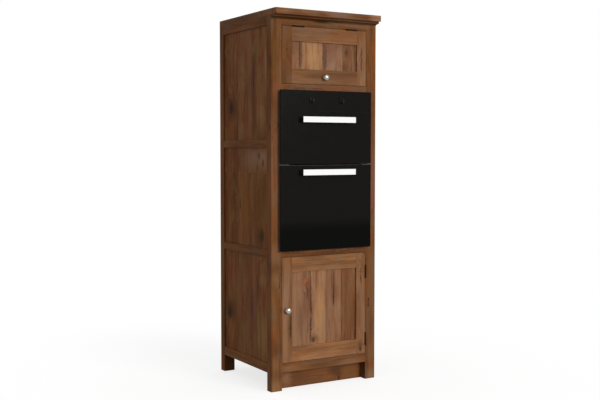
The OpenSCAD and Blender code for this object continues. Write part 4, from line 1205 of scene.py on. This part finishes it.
@dataclass
class OvenBody(SubAssembly):
    """Everything of the oven that stays in the housing, and its controls."""

    glass_ease: float = 0.35
    knob_r: float = 16.0
    knob_d: float = 18.0
    stem_r: float = 3.0
    skirt: float = 5.0
    step: float = 5.0
    grip_w: float = 8.0
    grip_ease: float = 1.6
    running_gap: float = 0.3
    # Thickness, lap and easing of the black painted-shade strip behind the controls' seam
    seam_shade_t: float = 1.2
    seam_shade_lap: float = 1.0
    seam_shade_ease: float = 0.3
    flange_gap: float = 0.1
    # Place behind the mask, thickness and half width of the black painted-shade strip behind the vent
    shade_sheet_y: float = 30.0
    shade_sheet_t: float = 1.0
    shade_sheet_half: float = 238.0
    trim_ease: float = 0.2

    def build(self) -> None:
        """Makes the control panel with its knobs and dresses the oven's inside."""
        glass = self.eased("control_glass", self.glass_ease, 1)
        self.finish(glass, "control_front_glass", BLACK_GLASS, "control_glass")
        self.build_seam_shade()
        self.build_flanges()
        self.build_shade_sheet()
        for side in ("left", "right"):
            self.build_knob(f"control_knob_{side}")
        self.dress_nodes({
            "oven_casing": ZINC_SHEET, "oven_front_mask": GREY_SHEET, "top_cavity": ENAMEL,
            "main_cavity": ENAMEL, "oven_insulation": WOOL, "cavity_seals": RUBBER,
            "control_housing": BLACK_ABS, "rotary_switches": BLACK_ABS, "rack_guides": CHROME_WIRE,
            "heating_elements": HEATER, "fan_cover": ENAMEL, "fan_motor": BRIGHT_STEEL,
            "oven_lamps": LAMP_GLASS, "oven_hinges": BRIGHT_STEEL, "oven_screws": ZINC_SCREW,
            "terminal_box": BLACK_ABS, "top_rack": CHROME_WIRE, "main_rack": CHROME_WIRE,
            "baking_tray": ENAMEL, "fan": BRIGHT_STEEL,
        })

    def build_seam_shade(self) -> None:
        """Hangs a thin black strip behind the seam between the controls and the upper door, as painted
        shade that keeps the seam dark.
        """
        low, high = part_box("control_glass")
        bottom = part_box("top_door_frame")[1].z + self.running_gap * MM
        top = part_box("control_housing")[0].z + self.seam_shade_lap * MM
        strip = eased_box(Vector((low.x, high.y, bottom)),
                          Vector((high.x, high.y + self.seam_shade_t * MM, top)), self.seam_shade_ease, 2)
        self.finish(strip, "control_seam_shade_strip", SEAM_SHADE_ABS, "control_glass", replaces=False)

    def build_flanges(self) -> None:
        """Folds the front mask out to the full width of the doors, over the posts' edges."""
        low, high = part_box("oven_front_mask")
        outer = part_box("control_glass")[1].x - self.running_gap * MM
        back = high.y - self.flange_gap * MM
        bm = bmesh.new()
        for side in (-1, 1):
            near, far = sorted((side * high.x, side * outer))
            absorb(bm, eased_box(Vector((near, low.y, low.z)), Vector((far, back, high.z)),
                                 self.trim_ease, 2))
        self.finish(bm, "oven_mask_flanges", GREY_SHEET, "oven_front_mask", replaces=False)

    def build_shade_sheet(self) -> None:
        """Stands a black strip between the cavities, behind the vent, as painted shade that keeps the slot
        between the doors dark.
        """
        half = self.shade_sheet_half * MM
        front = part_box("oven_front_mask")[1].y + self.shade_sheet_y * MM
        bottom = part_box("main_cavity")[1].z
        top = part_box("top_cavity")[0].z
        strip = eased_box(Vector((-half, front, bottom)),
                          Vector((half, front + self.shade_sheet_t * MM, top)), self.trim_ease, 2)
        piece = self.finish(strip, "oven_vent_shade_sheet", SHADE_SHEET_BLACK, "oven_front_mask", replaces=False)
        self.slot_of("main_door_frame")

    def build_knob(self, node: str) -> None:
        """Turns a control knob with a skirt and adds its raised grip bar.

        Args:
            node: the knob's construction node.
        """
        low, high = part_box(node)
        r, d, skirt, hub = self.knob_r, self.knob_d - self.running_gap, self.skirt, self.knob_r - self.step
        centre = behind_front(node, d)
        stem = (centre.y - high.y) / MM
        # From the stem's end in the switch to the hub's face, with roundings of 1 mm or less
        profile = [(0, stem), (self.stem_r, stem), (self.stem_r, 0), (r - 0.8, 0), (r, 0.8),
                   (r, skirt - 0.9), (r - 0.9, skirt), (hub + 0.8, skirt + 0.2), (hub, skirt + 1),
                   (hub - 0.3, d - self.step - 1), (hub - 1.2, d - self.step), (0, d - self.step)]
        bm = turned(profile, centre, 64)
        wide = self.grip_w / 2 * MM
        tall = (self.knob_r - self.step / 2) * MM
        back = centre.y - skirt / 2 * MM
        absorb(bm, eased_box(Vector((centre.x - wide, low.y, centre.z - tall)),
                             Vector((centre.x + wide, back, centre.z + tall)), self.grip_ease))
        self.finish(bm, node + "_turned", KNOB_ABS, node)


# ------------------------------------------------------------------------------- studio


@dataclass
class Studio:
    """Camera, soft lamp, white surround and pale floor, in metres and degrees."""

    eye: Triple = (-2.8465, -4.8739, 1.3461)
    yaw: float = 30.353
    pitch: float = -3.103
    lens: float = 57.504
    sensor: float = 36.0
    sight: float = 60.0
    ambient: float = 0.5
    sun: float = 1.76
    sun_from: Triple = (0.3, -1.0, 0.25)
    sun_away: float = 4.0
    sun_spread: float = 28.0
    floor_r: float = 14.0
    floor_sides: int = 96
    floor_drop: float = 0.0005
    floor_albedo: float = 0.4
    floor_lift: float = 0.75
    fade_from: float = 0.9
    fade_to: float = 2.4

    def build(self) -> None:
        """Sets up the whole studio."""
        scene = bpy.context.scene
        scene.view_settings.view_transform = "Standard"
        self.build_camera(scene)
        self.build_world(scene)
        self.build_lamp(scene)
        self.build_floor(scene)

    def build_camera(self, scene: bpy.types.Scene) -> None:
        """Puts the camera where the photograph was taken from.

        Args:
            scene: the scene.
        """
        data = bpy.data.cameras.new("camera")
        data.sensor_fit = "HORIZONTAL"
        data.sensor_width = self.sensor
        data.lens = self.lens
        data.clip_end = self.sight
        camera = bpy.data.objects.new("camera", data)
        camera.location = self.eye
        camera.rotation_euler = Euler((math.radians(90 + self.pitch), 0, math.radians(-self.yaw)))
        scene.collection.objects.link(camera)
        scene.camera = camera

    @staticmethod
    def seen(coat: Coat) -> Socket:
        """Gives 1 where the camera, a reflection or a view through glass meets a surface.

        Args:
            coat: the nodes to add to.

        Returns:
            The mask.
        """
        path = coat.add("LightPath", {}).node.outputs
        either = coat.add("Math", {0: path["Is Camera Ray"], 1: path["Is Glossy Ray"]},
                          operation="MAXIMUM")
        return coat.add("Math", {0: either, 1: path["Is Transmission Ray"]}, operation="MAXIMUM")

    def build_world(self, scene: bpy.types.Scene) -> None:
        """Makes a surround that is white to the camera and in reflections, and dimmer as light.

        Args:
            scene: the scene.
        """
        world = bpy.data.worlds.new("surround")
        world.use_nodes = True
        coat = Coat(world.node_tree)
        strength = coat.add("MapRange", {0: self.seen(coat), 3: self.ambient, 4: 1.0})
        coat.fill(coat.tree.nodes["Background"], {"Color": WHITE, "Strength": strength})
        scene.world = world

    def build_lamp(self, scene: bpy.types.Scene) -> None:
        """Hangs one broad soft lamp far off, low in front and a little to the right.

        Args:
            scene: the scene.
        """
        data = bpy.data.lights.new("key", "SUN")
        data.energy = self.sun
        data.angle = math.radians(self.sun_spread)
        lamp = bpy.data.objects.new("key", data)
        lamp.location = Vector(self.sun_from) * self.sun_away
        lamp.rotation_euler = (-Vector(self.sun_from)).to_track_quat("-Z", "Y").to_euler()
        scene.collection.objects.link(lamp)

    def build_floor(self, scene: bpy.types.Scene) -> None:
        """Lays a pale floor that keeps the object's shadow and fades to white far out.

        Args:
            scene: the scene.
        """
        bm = bmesh.new()
        bmesh.ops.create_circle(bm, cap_ends=True, segments=self.floor_sides, radius=self.floor_r)
        mesh = bpy.data.meshes.new("floor")
        bm.to_mesh(mesh)
        bm.free()
        floor = bpy.data.objects.new("floor", mesh)
        floor.location = (0, 0, -self.floor_drop)
        scene.collection.objects.link(floor)
        material = bpy.data.materials.new("white_studio_floor")
        material.use_nodes = True
        coat = Coat(material.node_tree)
        coat.tree.nodes.remove(coat.tree.nodes["Principled BSDF"])
        seen = self.seen(coat)
        place = coat.add("TexCoord", {}, "Object")
        away = coat.add("VectorMath", {0: place}, "Value", operation="LENGTH")
        far = coat.add("MapRange", {0: away, 1: self.fade_from, 2: self.fade_to},
                       interpolation_type="SMOOTHSTEP")
        matt = coat.add("BsdfDiffuse", {0: (*[self.floor_albedo] * 3, 1)})
        glow = coat.add("Math", {0: seen, 1: self.floor_lift}, operation="MULTIPLY")
        lift = coat.add("Emission", {0: WHITE, 1: glow})
        near_shade = coat.add("AddShader", {0: matt, 1: lift})
        white = coat.add("Emission", {0: WHITE, 1: 1.0})
        fade = coat.add("Math", {0: far, 1: seen}, operation="MULTIPLY")
        whole = coat.add("MixShader", {0: fade, 1: near_shade, 2: white})
        coat.fill(coat.tree.nodes["Material Output"], {"Surface": whole})
        mesh.materials.append(material)


def main() -> None:
    """Builds the looks in order."""
    logging.basicConfig(level=logging.INFO, format="%(name)s %(message)s")
    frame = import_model()
    Studio().build()
    Carcass(frame).build()
    Leaf(frame, "flap", FLAP_PANEL).build()
    Leaf(frame, "door", DOOR_PANEL).build()
    SubAssembly(frame).dress_nodes({"quadrant_stay": AGED_STEEL_AND_SHADE})
    OvenBody(frame).build()
    OvenDoor(frame, "top", BLACK_GLASS).build()
    OvenDoor(frame, "main", DARKER_LOW_GLASS).build()
    bpy.context.view_layer.update()


if __name__ == "__main__":
    main()
